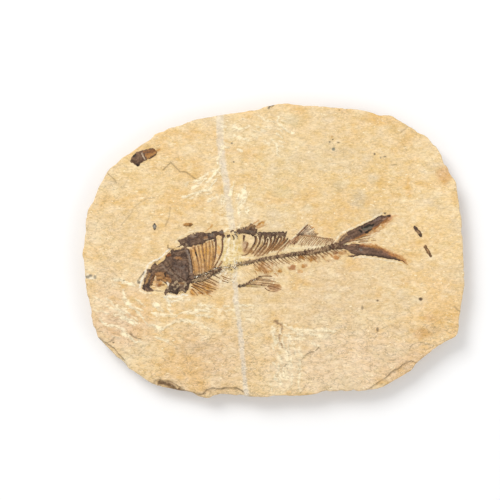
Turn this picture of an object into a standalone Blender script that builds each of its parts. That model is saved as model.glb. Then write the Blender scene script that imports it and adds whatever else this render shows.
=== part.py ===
"""Fossil fish slab: a hand-trimmed limestone plate that lies on its flat back, with a flattened fish on top.

Metres, +Z up out of the fish face, +X along the fish towards its tail. The origin is the middle of the back.
Every piece is drawn in millimetres, because its details are tenths of one, and the last step turns the whole
object into metres. Every bone lies on the bedding face and stands a few tenths of a millimetre proud of it,
with a hair's gap that keeps the solids apart.
"""

import math

import bmesh
import bpy
from mathutils import Matrix, Vector

MM = 0.001  # metres in one millimetre, for the last step
WELD = 0.001

# Driving dimensions, in millimetres.
SLAB_THICKNESS = 10.0
BED_WIDEST = 7.0
BONE_GAP = 0.1
BONE_FLOOR = SLAB_THICKNESS + BONE_GAP
SKULL_PLATE = 0.55
GILL_COVER_PLATE = 0.4
SCUTE_PLATE = 0.5
TAIL_PLATE = 0.35
FIN_WEB_PLATE = 0.25
FRAGMENT_PLATE = 0.4
RIB_WIDTH = 0.5
SPINE_WIDTH = 0.42
VERTEBRA_LENGTH = 1.45
FLAKE_DEPTH = 0.9
TUBE_SIDES_EXTRA = 1

COLOURS = {
    "limestone": (0.78, 0.60, 0.33),
    "dark_bone": (0.10, 0.065, 0.045),
    "gill_bone": (0.075, 0.055, 0.045),
    "rib_bone": (0.19, 0.10, 0.05),
    "fin_bone": (0.16, 0.085, 0.05),
    "plant_film": (0.17, 0.10, 0.05),
    "pellet": (0.24, 0.15, 0.08),
}
ROUGHNESS = {"limestone": 0.9, "gill_bone": 0.45}
BONE_ROUGHNESS = 0.6

for old in list(bpy.data.objects):
    bpy.data.objects.remove(old)

PIECES = bpy.data.collections.new("fossil_fish_slab")
CUTTERS = bpy.data.collections.new("cutters")
CUTTERS.hide_render = True
bpy.context.scene.collection.children.link(PIECES)
bpy.context.scene.collection.children.link(CUTTERS)


# ---------------------------------------------------------------- ways of making a piece


def material(name):
    """One Principled material for each kind of surface, made once."""
    found = bpy.data.materials.get(name)
    if found:
        return found
    made = bpy.data.materials.new(name)
    made.use_nodes = True
    shader = made.node_tree.nodes["Principled BSDF"]
    shader.inputs["Base Color"].default_value = (*COLOURS[name], 1.0)
    shader.inputs["Roughness"].default_value = ROUGHNESS.get(name, BONE_ROUGHNESS)
    shader.inputs["Metallic"].default_value = 0.0
    return made


def mesh_from_curve(name, curve):
    """A curve's closed mesh, with its loose caps welded to its sides."""
    guide = bpy.data.objects.new(name + "_curve", curve)
    CUTTERS.objects.link(guide)
    bpy.context.view_layer.update()
    graph = bpy.context.evaluated_depsgraph_get()
    mesh = bpy.data.meshes.new_from_object(guide.evaluated_get(graph))
    bpy.data.objects.remove(guide)
    bpy.data.curves.remove(curve)
    work = bmesh.new()
    work.from_mesh(mesh)
    bmesh.ops.remove_doubles(work, verts=work.verts, dist=WELD)
    bmesh.ops.recalc_face_normals(work, faces=work.faces)
    work.to_mesh(mesh)
    work.free()
    mesh.name = name
    return mesh


def placed(name, mesh, finish):
    """The mesh as a piece of the slab, with its finish."""
    mesh.materials.clear()
    mesh.materials.append(material(finish))
    piece = bpy.data.objects.new(name, mesh)
    PIECES.objects.link(piece)
    return piece


def flat_plate(name, outline, bottom, thickness):
    """A flat plate with its lower face at the height bottom, from an outline seen from above."""
    curve = bpy.data.curves.new(name, "CURVE")
    curve.dimensions = "2D"
    curve.fill_mode = "BOTH"
    curve.extrude = thickness / 2
    spline = curve.splines.new("POLY")
    spline.points.add(len(outline) - 1)
    spline.use_cyclic_u = True
    for point, (x, y) in zip(spline.points, outline):
        point.co = (x, y, 0.0, 1.0)
    mesh = mesh_from_curve(name, curve)
    mesh.transform(Matrix.Translation((0.0, 0.0, bottom + thickness / 2)))
    return mesh


def tapered_rod(name, path, width, floor, tip=0.6, radii=None):
    """A slender bone that lies along a path at the height floor, and thins from its first point to its tip."""
    curve = bpy.data.curves.new(name, "CURVE")
    curve.dimensions = "3D"
    curve.bevel_depth = width / 2
    curve.bevel_resolution = TUBE_SIDES_EXTRA
    curve.use_fill_caps = True
    spline = curve.splines.new("POLY")
    spline.points.add(len(path) - 1)
    last = len(path) - 1
    for index, (point, (x, y)) in enumerate(zip(spline.points, path)):
        scale = radii[index] if radii else 1.0 - (1.0 - tip) * index / last
        point.co = (x, y, floor + width / 2 * scale, 1.0)
        point.radius = scale
    return mesh_from_curve(name, curve)


def grain(name, x, y, floor, size):
    """A low rounded grain of bone or a lump, size (long, wide, high), with the last an angle in degrees."""
    long, wide, high, turn = size
    mesh = bpy.data.meshes.new(name)
    work = bmesh.new()
    bmesh.ops.create_icosphere(work, subdivisions=1, radius=1.0)
    stretch = Matrix.Diagonal((long / 2, wide / 2, high / 2, 1.0))
    turned = Matrix.Rotation(math.radians(turn), 4, "Z")
    shift = Matrix.Translation((x, y, floor + high / 2))
    bmesh.ops.transform(work, matrix=shift @ turned @ stretch, verts=work.verts)
    work.to_mesh(mesh)
    work.free()
    return mesh


def combined(piece, meshes, operation):
    """The piece after a Boolean with each mesh, made at once on its own mesh."""
    for mesh in meshes:
        cutter = bpy.data.objects.new(mesh.name + "_tool", mesh)
        cutter.hide_render = True
        cutter.display_type = "WIRE"
        CUTTERS.objects.link(cutter)
        step = piece.modifiers.new("step", "BOOLEAN")
        step.operation = operation
        step.solver = "EXACT"
        step.object = cutter
        bpy.context.view_layer.update()
        graph = bpy.context.evaluated_depsgraph_get()
        result = bpy.data.meshes.new_from_object(piece.evaluated_get(graph))
        piece.modifiers.clear()
        result.name = piece.name
        piece.data = result
        bpy.data.objects.remove(cutter)
    return piece


def along(path, distance):
    """The point and direction at a distance from the start of a path."""
    left = distance
    for start, end in zip(path, path[1:]):
        a = Vector(start)
        b = Vector(end)
        length = (b - a).length
        if left <= length or end == path[-1]:
            way = (b - a) / length
            return a + way * left, way
        left -= length
    return None


def path_length(path):
    return sum((Vector(b) - Vector(a)).length for a, b in zip(path, path[1:]))


# ---------------------------------------------------------------- limestone slab

# The hewn outline, clockwise from the middle of the left side. It is broken by hand, so it has no rule.
SLAB_OUTLINE = [
    (-80.3, -2.9), (-79.4, 4.0), (-78.8, 10.9), (-78.1, 17.2), (-75.8, 21.8), (-73.7, 26.0), (-69.9, 33.2),
    (-66.2, 36.5), (-62.8, 39.9), (-57.8, 43.3), (-51.9, 46.8), (-49.8, 49.1), (-46.8, 50.8), (-39.3, 52.9),
    (-32.1, 55.4), (-27.5, 56.1), (-20.4, 57.5), (-12.8, 58.7), (-6.5, 59.4), (-2.3, 61.3), (2.7, 61.9),
    (6.9, 62.0), (13.2, 61.1), (19.5, 60.9), (25.8, 60.7), (34.2, 59.6), (40.5, 58.7), (45.6, 57.3),
    (50.2, 56.7), (55.2, 53.6), (61.5, 49.6), (66.2, 46.6), (69.9, 40.3), (74.1, 33.6), (77.1, 28.1),
    (77.9, 22.7), (78.8, 15.1), (79.3, 9.0), (79.8, -1.7), (79.9, -7.1), (80.3, -14.3), (78.8, -22.7),
    (77.7, -32.3), (77.3, -34.9), (72.0, -38.2), (65.7, -42.6), (60.3, -47.0), (57.8, -50.4), (53.1, -53.1),
    (48.1, -56.1), (44.7, -57.8), (38.4, -58.8), (32.1, -59.3), (25.0, -58.9), (17.9, -60.1), (11.1, -60.8),
    (2.7, -61.1), (-5.7, -61.4), (-12.8, -61.0), (-19.1, -60.5), (-24.6, -60.7), (-27.5, -62.0),
    (-31.7, -61.1), (-35.1, -59.2), (-41.4, -59.0), (-49.8, -56.7), (-53.6, -54.6), (-58.2, -51.2),
    (-62.4, -47.9), (-67.8, -42.4), (-72.5, -37.8), (-75.0, -34.4), (-76.2, -29.0), (-77.9, -20.6),
    (-79.0, -12.2), (-79.8, -5.9),
]
# Each bedding ledge of the wall: height, how far it stands back, and how much that varies along the edge.
BEDDING_LEDGES = [
    (0.0, 1.3, 0.7), (1.0, 0.5, 0.5), (3.0, 0.9, 0.6), (3.3, 0.35, 0.35), (5.4, 0.7, 0.5), (5.8, 0.2, 0.2),
    (BED_WIDEST, 0.0, 0.0), (9.3, 0.2, 0.15), (SLAB_THICKNESS, 0.55, 0.25),
]
# Shallow flakes lost from the face along the lower edge: the side of each that lies inside the slab.
LOWER_RIGHT_FLAKE = [
    (36.5, -66.0), (39.3, -58.4), (41.8, -56.5), (44.7, -54.6), (47.3, -53.1), (50.2, -50.4), (52.7, -49.1),
    (54.8, -47.5), (57.8, -46.2), (59.4, -46.8), (66.0, -49.0), (66.0, -66.0),
]
LOWER_LEFT_FLAKE = [
    (-52.0, -66.0), (-50.4, -54.5), (-47.8, -54.0), (-43.0, -55.0), (-40.0, -56.7), (-37.5, -58.4),
    (-32.6, -59.9), (-30.0, -60.3), (-27.9, -58.2), (-25.4, -57.3), (-22.5, -58.0), (-19.1, -57.3),
    (-14.9, -57.8), (-12.8, -59.2), (-11.0, -66.0),
]
LEFT_CORNER_FLAKE = [
    (-84.0, -35.0), (-74.6, -35.4), (-72.5, -37.4), (-69.9, -38.9), (-67.4, -40.5), (-64.6, -43.6),
    (-61.8, -46.8), (-60.5, -54.0), (-84.0, -54.0),
]
TOP_WEDGE = [(-1.6, 64.0), (-1.4, 61.2), (-0.7, 60.4), (0.2, 60.9), (0.5, 64.0)]


def set_back(outline, distances):
    """The outline moved inwards at each point by its own distance, along the mean of its two edges' normals."""
    moved = []
    count = len(outline)
    for index, distance in enumerate(distances):
        before = Vector(outline[index - 1])
        here = Vector(outline[index])
        after = Vector(outline[(index + 1) % count])
        way = (here - before).normalized() + (after - here).normalized()
        inward = Vector((way.y, -way.x)).normalized()
        moved.append(here + inward * distance)
    return moved


def ledge_ring(number, height, back, vary):
    """One ring of the wall: its setback rises and falls along the edge as the stone broke."""
    distances = []
    count = len(SLAB_OUTLINE)
    for index in range(count):
        turn = 2 * math.pi * index / count
        wave = math.sin(7 * turn + 1.9 * number) + 0.8 * math.sin(17 * turn + 3.1 * number)
        chip = math.sin(31 * turn + 2.3 * number)
        distances.append(max(0.0, back + vary * (0.45 * wave + 0.35 * chip)))
    return [(x, y, height) for x, y in set_back(SLAB_OUTLINE, distances)]


def limestone_slab():
    """A loft through the ledge rings, closed by a flat face at the top and a flat back."""
    work = bmesh.new()
    rings = []
    for number, ledge in enumerate(BEDDING_LEDGES):
        ring = ledge_ring(number, *ledge)
        rings.append([work.verts.new((x, y, z)) for x, y, z in ring])
    count = len(SLAB_OUTLINE)
    for lower, upper in zip(rings, rings[1:]):
        for index in range(count):
            after = (index + 1) % count
            work.faces.new((lower[index], lower[after], upper[after], upper[index]))
    work.faces.new(rings[0])
    work.faces.new(rings[-1])
    bmesh.ops.recalc_face_normals(work, faces=work.faces)
    mesh = bpy.data.meshes.new("limestone_slab")
    work.to_mesh(mesh)
    work.free()
    slab = placed("limestone_slab", mesh, "limestone")
    above = 2.0
    flakes = [
        flat_plate("lower_right", LOWER_RIGHT_FLAKE, SLAB_THICKNESS - FLAKE_DEPTH, above),
        flat_plate("lower_left", LOWER_LEFT_FLAKE, SLAB_THICKNESS - FLAKE_DEPTH - 0.3, above),
        flat_plate("left_corner", LEFT_CORNER_FLAKE, SLAB_THICKNESS - FLAKE_DEPTH - 0.1, above),
        flat_plate("top_wedge", TOP_WEDGE, SLAB_THICKNESS - FLAKE_DEPTH - 0.2, above),
    ]
    return combined(slab, flakes, "DIFFERENCE")


limestone_slab()


# ---------------------------------------------------------------- skull and gill cover

SKULL_OUTLINE = [
    (-55.4, -15.5), (-54.8, -12.9), (-54.4, -11.6), (-53.1, -8.9), (-53.2, -7.8), (-52.5, -7.4), (-51.9, -6.2),
    (-49.8, -5.0), (-47.6, -5.1), (-46.0, -3.8), (-45.5, -2.0), (-43.8, -1.0), (-43.1, 0.3), (-41.6, 0.2),
    (-39.8, 0.2), (-37.1, 1.3), (-36.2, 0.9), (-35.6, -1.1), (-35.0, -5.6), (-35.0, -10.2), (-34.9, -12.4),
    (-35.9, -15.6), (-37.1, -18.2), (-38.7, -16.9), (-39.8, -17.5), (-40.5, -18.7), (-41.3, -18.7),
    (-42.5, -17.9), (-43.8, -17.6), (-45.1, -18.7), (-45.7, -16.9), (-44.9, -14.5), (-45.3, -13.4),
    (-44.2, -11.6), (-44.6, -9.6), (-46.4, -8.4), (-48.2, -8.8), (-49.3, -10.2), (-50.0, -12.4),
    (-51.4, -15.0), (-50.6, -16.8), (-52.9, -17.2), (-54.4, -16.5),
]
SKULL_RIDGES = [
    [(-54.2, -12.8), (-52.4, -9.4), (-50.4, -7.0), (-48.0, -6.3), (-46.2, -5.3)],
    [(-46.4, -5.0), (-44.6, -2.4), (-41.8, -1.1), (-38.2, -0.2), (-36.6, -0.2)],
    [(-46.0, -9.2), (-44.0, -7.4), (-41.8, -4.9), (-39.2, -2.6)],
    [(-54.2, -15.4), (-52.6, -13.4), (-50.6, -10.6)],
    [(-43.6, -13.0), (-40.8, -14.3), (-37.2, -15.9)],
    [(-43.9, -10.4), (-42.2, -12.0), (-40.4, -12.6)],
]
SKULL_GRAINS = [
    (-44.2, -15.2, 1.5, 1.0), (-42.0, -16.2, 1.8, 1.1), (-39.4, -16.1, 1.6, 1.2), (-37.4, -13.6, 1.3, 1.0),
    (-41.8, -13.8, 1.4, 0.9), (-48.6, -7.3, 1.6, 1.0), (-43.2, -4.0, 1.5, 1.1), (-53.3, -15.9, 1.6, 1.0),
]
RIDGE_WIDTH = 0.7
GILL_COVER_OUTLINE = [
    (-41.3, -4.3), (-39.0, -3.9), (-36.4, -4.2), (-35.7, -5.4), (-35.6, -8.0), (-35.7, -10.6), (-36.4, -12.9),
    (-38.4, -11.6), (-40.2, -10.4), (-41.8, -9.2), (-42.7, -7.6), (-42.3, -5.6),
]


def skull():
    plate = flat_plate("skull", SKULL_OUTLINE, BONE_FLOOR, SKULL_PLATE)
    piece = placed("skull", plate, "dark_bone")
    ridge_floor = BONE_FLOOR + SKULL_PLATE - RIDGE_WIDTH * 0.55
    ridges = [
        tapered_rod(f"ridge_{number}", path, RIDGE_WIDTH, ridge_floor)
        for number, path in enumerate(SKULL_RIDGES)
    ]
    grains = [
        grain(f"grain_{number}", x, y, ridge_floor, (long, wide, 0.75, 25.0 * number))
        for number, (x, y, long, wide) in enumerate(SKULL_GRAINS)
    ]
    return combined(piece, ridges + grains, "UNION")


def gill_cover():
    """The smooth plate lies on the cheek of the skull, so it starts just above the skull's highest ridge there."""
    floor = BONE_FLOOR + SKULL_PLATE + 0.4
    plate = flat_plate("gill_cover", GILL_COVER_OUTLINE, floor, GILL_COVER_PLATE)
    return placed("gill_cover", plate, "gill_bone")


skull()
gill_cover()


# ---------------------------------------------------------------- belly scutes

FRONT_SCUTES = [
    (-40.4, 4.2), (-38.5, 5.0), (-36.5, 6.0), (-35.1, 7.2), (-33.0, 7.8), (-29.6, 8.1), (-27.5, 7.6),
    (-25.8, 8.2), (-23.3, 8.7), (-21.4, 8.9), (-20.7, 7.0), (-20.3, 5.4), (-21.4, 5.1), (-22.0, 6.6),
    (-23.7, 6.6), (-24.1, 4.9), (-25.6, 4.3), (-27.0, 4.3), (-28.3, 3.9), (-29.8, 2.9), (-31.5, 2.6),
    (-32.9, 2.3), (-34.5, 1.8), (-36.9, 1.8), (-38.4, 2.0), (-40.7, 1.5), (-39.9, 2.2), (-39.3, 3.2),
]
MIDDLE_SCUTES = [
    (-18.0, 8.0), (-17.3, 8.7), (-15.6, 8.6), (-14.7, 9.4), (-13.0, 9.2), (-12.2, 10.1), (-10.9, 10.4),
    (-9.5, 11.6), (-8.2, 11.4), (-7.4, 10.4), (-6.9, 8.2), (-7.3, 7.2), (-8.2, 6.1), (-9.4, 6.4),
    (-10.4, 7.0), (-12.4, 6.9), (-14.6, 7.3), (-15.5, 7.0), (-15.9, 6.3), (-16.3, 7.2), (-16.6, 8.3),
]
REAR_SCUTES = [
    (-6.5, 7.7), (-5.0, 7.9), (-2.5, 8.0), (0.0, 7.9), (3.0, 8.2), (5.8, 8.3), (5.3, 7.1), (5.0, 6.3),
    (3.0, 6.6), (1.0, 6.8), (-1.4, 6.9), (-3.6, 6.7), (-5.4, 6.8), (-6.4, 6.9),
]
SCUTE_SPACING = 1.9
SCUTE_KEEL_WIDTH = 0.6


def scutes(name, outline, keel_line):
    """A run of scutes: the band, and one raised keel for each scute across it, grown onto it."""
    piece = placed(name, flat_plate(name, outline, BONE_FLOOR, SCUTE_PLATE), "dark_bone")
    floor = BONE_FLOOR + SCUTE_PLATE - SCUTE_KEEL_WIDTH * 0.43
    keels = []
    count = int(path_length(keel_line) / SCUTE_SPACING)
    for number in range(count):
        middle, way = along(keel_line, (number + 0.5) * SCUTE_SPACING)
        across = Vector((way.y, -way.x)) * 0.9 + way * 0.35
        path = [middle - across, middle, middle + across * 0.8]
        radii = [0.6, 1.0, 0.5]
        keels.append(tapered_rod(f"{name}_keel_{number}", path, SCUTE_KEEL_WIDTH, floor, radii=radii))
    return combined(piece, keels, "UNION")


scutes("belly_scutes_front", FRONT_SCUTES, [(-39.0, 3.6), (-34.0, 4.9), (-29.0, 6.2), (-22.4, 7.7)])
scutes("belly_scutes_middle", MIDDLE_SCUTES, [(-15.6, 8.0), (-12.0, 8.5), (-8.0, 9.4)])
scutes("belly_scutes_rear", REAR_SCUTES, [(-6.2, 7.45), (5.3, 7.5)])

CRUMBS = {
    "scute_crumb_round": [(-19.8, 6.2), (-19.2, 6.9), (-18.4, 7.0), (-18.2, 6.3), (-18.6, 5.7), (-19.3, 5.6)],
    "scute_crumb_long": [(-17.2, 6.5), (-16.8, 6.2), (-16.3, 4.9), (-16.5, 4.5), (-17.0, 5.1)],
}
for crumb_name, crumb_outline in CRUMBS.items():
    placed(crumb_name, flat_plate(crumb_name, crumb_outline, BONE_FLOOR, FRAGMENT_PLATE), "dark_bone")


# ---------------------------------------------------------------- ribs

FRONT_RIBS = [
    [(-34.4, 0.4), (-34.0, -3.0), (-33.5, -4.9), (-33.4, -8.2)],
    [(-33.4, 1.2), (-32.7, -1.1), (-32.2, -3.3), (-31.9, -5.6), (-31.6, -8.6)],
    [(-31.6, 1.9), (-31.3, -0.2), (-30.8, -2.9), (-30.6, -6.8)],
    [(-30.1, 2.2), (-30.0, 0.4), (-29.6, -2.2), (-29.4, -4.0), (-29.3, -6.8)],
    [(-28.7, 3.0), (-28.4, -1.1), (-28.3, -4.2), (-28.4, -6.6)],
    [(-27.2, 3.6), (-26.9, -0.2), (-27.2, -4.7), (-27.5, -7.8)],
    [(-25.9, 3.6), (-25.7, 0.4), (-25.9, -3.3), (-26.6, -6.4)],
    [(-24.5, 4.3), (-24.4, 1.1), (-24.7, -2.2), (-25.3, -5.1), (-25.9, -7.3)],
    [(-21.4, 4.4), (-21.4, 2.4), (-21.7, -0.2), (-22.5, -2.5), (-23.5, -4.7), (-24.8, -6.9)],
    [(-21.6, -4.0), (-22.3, -5.3), (-23.1, -6.4)],
]
REAR_RIBS = [
    [(-12.2, 6.3), (-12.2, 4.0)],
    [(-10.8, 3.0), (-11.4, 1.6), (-12.2, 0.1)],
    [(-7.7, 5.5), (-8.1, 3.1), (-9.1, 1.2), (-10.75, -1.0), (-12.0, -1.7), (-13.4, -1.6)],
    [(-5.8, 6.4), (-5.8, 4.3), (-6.5, 2.65), (-7.85, 0.4), (-9.7, -1.6)],
    [(-3.7, 6.3), (-3.6, 4.3), (-4.5, 2.4), (-6.0, 0.4), (-8.05, -2.2)],
    [(-2.5, 5.1), (-3.0, 2.65), (-4.1, 0.8), (-5.8, -1.1), (-6.9, -2.2)],
    [(-1.4, 6.3), (-1.2, 3.9), (-2.0, 1.8), (-3.6, -0.6)],
    [(0.8, 6.3), (0.8, 4.3), (0.1, 2.9), (-1.1, 1.6)],
    [(2.3, 6.1), (1.3, 2.65), (-0.3, 0.5)],
    [(3.5, 5.9), (2.5, 3.1), (1.0, 1.2)],
    [(4.6, 5.7), (3.6, 3.3), (1.8, 1.4)],
    [(6.0, 5.3), (4.6, 3.3), (2.9, 1.7)],
    [(6.9, 4.6), (5.4, 2.7), (3.9, 1.5)],
]


def ribs(name, paths):
    """One rib for each path, round in section and thinner towards the backbone."""
    for number, path in enumerate(paths, start=1):
        rib = f"{name}_{number:02d}"
        placed(rib, tapered_rod(rib, path, RIB_WIDTH, BONE_FLOOR, tip=0.7), "rib_bone")


ribs("front_rib", FRONT_RIBS)
ribs("rear_rib", REAR_RIBS)


# ---------------------------------------------------------------- backbone

BROKEN_RUN = [(-33.6, -12.3), (-31.0, -12.0), (-27.5, -10.6), (-25.4, -8.9), (-22.6, -7.8)]
LONG_RUN = [
    (-15.0, -5.7), (-13.0, -5.3), (-9.0, -4.5), (-5.0, -3.6), (0.5, -2.5), (5.0, -1.8), (10.0, -1.1),
    (15.5, -0.7), (18.2, -0.3), (21.3, 0.5), (23.7, 1.3), (27.0, 2.3),
]
BROKEN_RUN_WIDTH = 1.1
LONG_RUN_WIDTH = 1.5
TAIL_END_WIDTH = 2.4
CRUSHED_FLAT = 0.6
SPINES_FROM = 6.0
SPINE_SLANT = 47.0
LONGEST_SPINE = 5.2
SHORTEST_SPINE = 2.8
ARCHES_FROM = 27.0
ARCH_LENGTH = 2.2


def vertebrae(name, path, width, end_width):
    """The row of vertebrae as one beaded rod: each is waisted in its middle and wide where it meets the next."""
    total = path_length(path)
    count = round(total / VERTEBRA_LENGTH)
    points = []
    radii = []
    for half in range(2 * count + 1):
        share = half / (2 * count)
        points.append(along(path, share * total)[0])
        waist = 0.72 if half % 2 else 1.0
        radii.append(waist * (1.0 + (end_width / width - 1.0) * share**3))
    mesh = tapered_rod(name, points, width, BONE_FLOOR, radii=radii)
    flat = Matrix.Translation((0.0, 0.0, BONE_FLOOR)) @ Matrix.Diagonal((1.0, 1.0, CRUSHED_FLAT, 1.0))
    mesh.transform(flat @ Matrix.Translation((0.0, 0.0, -BONE_FLOOR)))
    return mesh


def spine_at(name, path, distance, angle, length):
    """A spine that leaves the backbone at a slant and lies down to the rock at its tip."""
    root, way = along(path, distance)
    turn = math.radians(angle)
    out = Vector((way.x * math.cos(turn) - way.y * math.sin(turn), way.x * math.sin(turn) + way.y * math.cos(turn)))
    bend = Vector((out.y, -out.x)) * (0.06 * length if angle < 0 else -0.06 * length)
    path_out = [root, root + out * length * 0.5 + bend, root + out * length]
    return tapered_rod(name, path_out, SPINE_WIDTH, BONE_FLOOR + 0.03, tip=0.55)


def backbone():
    broken = vertebrae("backbone_front_run", BROKEN_RUN, BROKEN_RUN_WIDTH, BROKEN_RUN_WIDTH)
    placed("backbone_front_run", broken, "dark_bone")
    rod = vertebrae("backbone", LONG_RUN, LONG_RUN_WIDTH, TAIL_END_WIDTH)
    piece = placed("backbone", rod, "dark_bone")
    total = path_length(LONG_RUN)
    spines = []
    distance = SPINES_FROM
    while distance < total - 0.5:
        share = (distance - SPINES_FROM) / (total - SPINES_FROM)
        length = LONGEST_SPINE + (SHORTEST_SPINE - LONGEST_SPINE) * share
        spines.append(spine_at(f"spine_{len(spines)}", LONG_RUN, distance, -SPINE_SLANT, length))
        if distance > ARCHES_FROM:
            spines.append(spine_at(f"arch_{len(spines)}", LONG_RUN, distance, SPINE_SLANT, ARCH_LENGTH))
        distance += VERTEBRA_LENGTH
    return combined(piece, spines, "UNION")


backbone()

NECK_SPINES = [
    [(-34.0, -13.9), (-31.0, -15.2), (-28.0, -16.5), (-26.0, -16.8)],
    [(-34.3, -14.8), (-31.4, -16.4), (-29.5, -17.9)],
    [(-32.0, -13.2), (-29.0, -14.2), (-26.5, -15.3), (-24.0, -15.8)],
    [(-28.8, -12.6), (-26.0, -13.7), (-24.0, -14.1)],
    [(-26.8, -11.7), (-25.0, -12.5), (-23.0, -13.4)],
    [(-24.6, -10.4), (-23.4, -11.1), (-22.4, -11.5)],
    [(-33.7, -15.7), (-32.2, -17.5), (-31.6, -18.7)],
    [(-21.9, -10.3), (-18.0, -12.0)],
    [(-21.4, -12.5), (-19.0, -13.3)],
]
for spine_number, spine_path in enumerate(NECK_SPINES, start=1):
    spine_name = f"neck_spine_{spine_number}"
    placed(spine_name, tapered_rod(spine_name, spine_path, SPINE_WIDTH, BONE_FLOOR), "rib_bone")


# ---------------------------------------------------------------- back fin, lower in the plan

BACK_FIN_RIDGE = [(-15.0, -14.9), (-12.5, -14.3), (-10.0, -13.2), (-8.0, -12.1), (-6.0, -11.3), (-4.0, -10.8), (-0.4, -10.6)]
BACK_FIN_RAYS = [
    [(-8.0, -12.2), (-5.5, -12.3), (-3.0, -12.6), (1.5, -13.0)],
    [(-11.4, -13.9), (-7.0, -14.1), (-3.0, -14.5)],
    [(-13.2, -14.5), (-10.0, -14.9), (-6.0, -15.2)],
    [(-6.3, -11.4), (-3.5, -11.7), (-1.0, -12.0)],
]
LOOSE_FIN_RAYS = [
    [(-4.5, -13.6), (-1.0, -14.0), (2.5, -14.6)],
    [(-2.4, -14.8), (0.5, -15.3), (3.3, -16.0)],
    [(-3.2, -15.8), (-1.6, -16.4), (1.0, -17.0)],
]
RIDGE_BONE_WIDTH = 0.75
FIN_RAY_WIDTH = 0.4


def back_fin():
    ridge = tapered_rod("back_fin", BACK_FIN_RIDGE, RIDGE_BONE_WIDTH, BONE_FLOOR, tip=0.7)
    piece = placed("back_fin", ridge, "fin_bone")
    rays = [
        tapered_rod(f"back_ray_{number}", path, FIN_RAY_WIDTH, BONE_FLOOR + 0.04, tip=0.5)
        for number, path in enumerate(BACK_FIN_RAYS)
    ]
    for number, path in enumerate(LOOSE_FIN_RAYS, start=1):
        name = f"back_fin_loose_ray_{number}"
        placed(name, tapered_rod(name, path, FIN_RAY_WIDTH, BONE_FLOOR, tip=0.5), "fin_bone")
    return combined(piece, rays, "UNION")


back_fin()


# ---------------------------------------------------------------- anal fin, upper in the plan

ANAL_FIN_RIDGE = [(9.6, 6.9), (13.0, 6.7), (15.0, 6.3), (18.0, 6.0), (21.0, 5.5), (25.0, 5.2)]
ANAL_FIN_WEB = [(9.8, 6.6), (12.5, 9.2), (14.6, 11.2), (16.0, 10.6), (17.0, 9.9), (17.6, 8.2), (18.4, 6.2), (15.0, 6.2)]
ANAL_FIN_RAYS = [
    [(7.6, 4.0), (9.0, 5.5), (10.5, 7.2), (12.5, 9.3), (14.3, 11.2)],
    [(12.0, 6.9), (13.8, 8.8), (15.9, 10.6)],
    [(13.6, 6.6), (15.3, 8.3), (16.9, 9.8)],
    [(15.2, 6.4), (16.6, 7.8), (17.4, 8.6)],
]
SUPPORT_SLANT = 48.0
SUPPORT_SPACING = 1.2
SUPPORT_LENGTHS = (5.4, 3.0)


def anal_fin():
    ridge = tapered_rod("anal_fin", ANAL_FIN_RIDGE, RIDGE_BONE_WIDTH, BONE_FLOOR, tip=0.6)
    piece = placed("anal_fin", ridge, "fin_bone")
    grown = [flat_plate("web", ANAL_FIN_WEB, BONE_FLOOR + 0.02, FIN_WEB_PLATE)]
    for number, path in enumerate(ANAL_FIN_RAYS):
        grown.append(tapered_rod(f"anal_ray_{number}", path, FIN_RAY_WIDTH, BONE_FLOOR + 0.05, tip=0.6))
    count = int(path_length(ANAL_FIN_RIDGE) / SUPPORT_SPACING)
    turn = math.radians(180.0 + SUPPORT_SLANT)
    for number in range(1, count + 1):
        root = along(ANAL_FIN_RIDGE, number * SUPPORT_SPACING)[0]
        share = (number - 1) / (count - 1)
        length = SUPPORT_LENGTHS[0] + (SUPPORT_LENGTHS[1] - SUPPORT_LENGTHS[0]) * share
        end = root + Vector((math.cos(turn), math.sin(turn))) * length
        grown.append(tapered_rod(f"support_{number}", [root, end], FIN_RAY_WIDTH, BONE_FLOOR + 0.04, tip=0.5))
    return combined(piece, grown, "UNION")


anal_fin()


# ---------------------------------------------------------------- tail fin

UPPER_LOBE = [
    (26.6, 4.2), (27.2, 5.2), (28.0, 6.3), (30.5, 7.9), (32.0, 8.6), (35.0, 9.8), (37.0, 10.8), (40.0, 12.4),
    (44.0, 14.5), (47.0, 15.3), (49.2, 15.0), (48.5, 13.0), (45.0, 10.6), (42.0, 8.3), (40.0, 7.3), (38.0, 6.2),
    (36.0, 5.3), (34.0, 4.6), (32.0, 4.1), (30.0, 3.6), (28.4, 3.6),
]
LOWER_LOBE = [
    (28.9, 2.7), (30.4, 2.5), (32.0, 3.0), (34.0, 3.3), (36.0, 2.9), (40.0, 2.5), (44.0, 2.2), (46.0, 1.4),
    (48.0, 0.4), (50.0, -0.6), (52.0, -1.6), (54.0, -2.6), (56.8, -5.9), (54.0, -4.4), (50.0, -3.5), (46.0, -2.9),
    (42.0, -2.2), (37.0, -1.7), (34.0, -2.3), (31.4, -2.3), (33.0, -1.0), (31.5, -0.2), (30.0, 1.2),
]
UPPER_LOBE_RAYS = [
    [(27.6, 4.8), (31.0, 7.2), (36.0, 9.6), (42.0, 12.7), (48.3, 15.0)],
    [(29.0, 4.6), (34.0, 7.2), (40.0, 10.2), (46.6, 13.8)],
    [(31.0, 4.4), (36.0, 6.8), (41.0, 9.2), (46.4, 12.6)],
    [(32.0, 4.3), (36.4, 6.1), (41.2, 8.5)],
]
LOWER_LOBE_RAYS = [
    [(30.6, 2.0), (35.0, 2.4), (40.0, 1.9), (46.0, 0.6), (51.4, -1.9)],
    [(31.2, 1.2), (36.0, 1.0), (42.0, 0.2), (48.0, -1.3), (54.6, -4.0)],
    [(32.0, 0.4), (38.0, -0.3), (44.0, -1.3), (50.0, -2.7)],
    [(33.4, -0.6), (39.0, -1.2), (45.0, -2.3)],
]
MIDDLE_RAYS = {"tail_middle_ray": [(35.4, 4.1), (37.6, 4.2), (39.8, 4.3)]}
TAIL_RAY_WIDTH = 0.45


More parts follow.
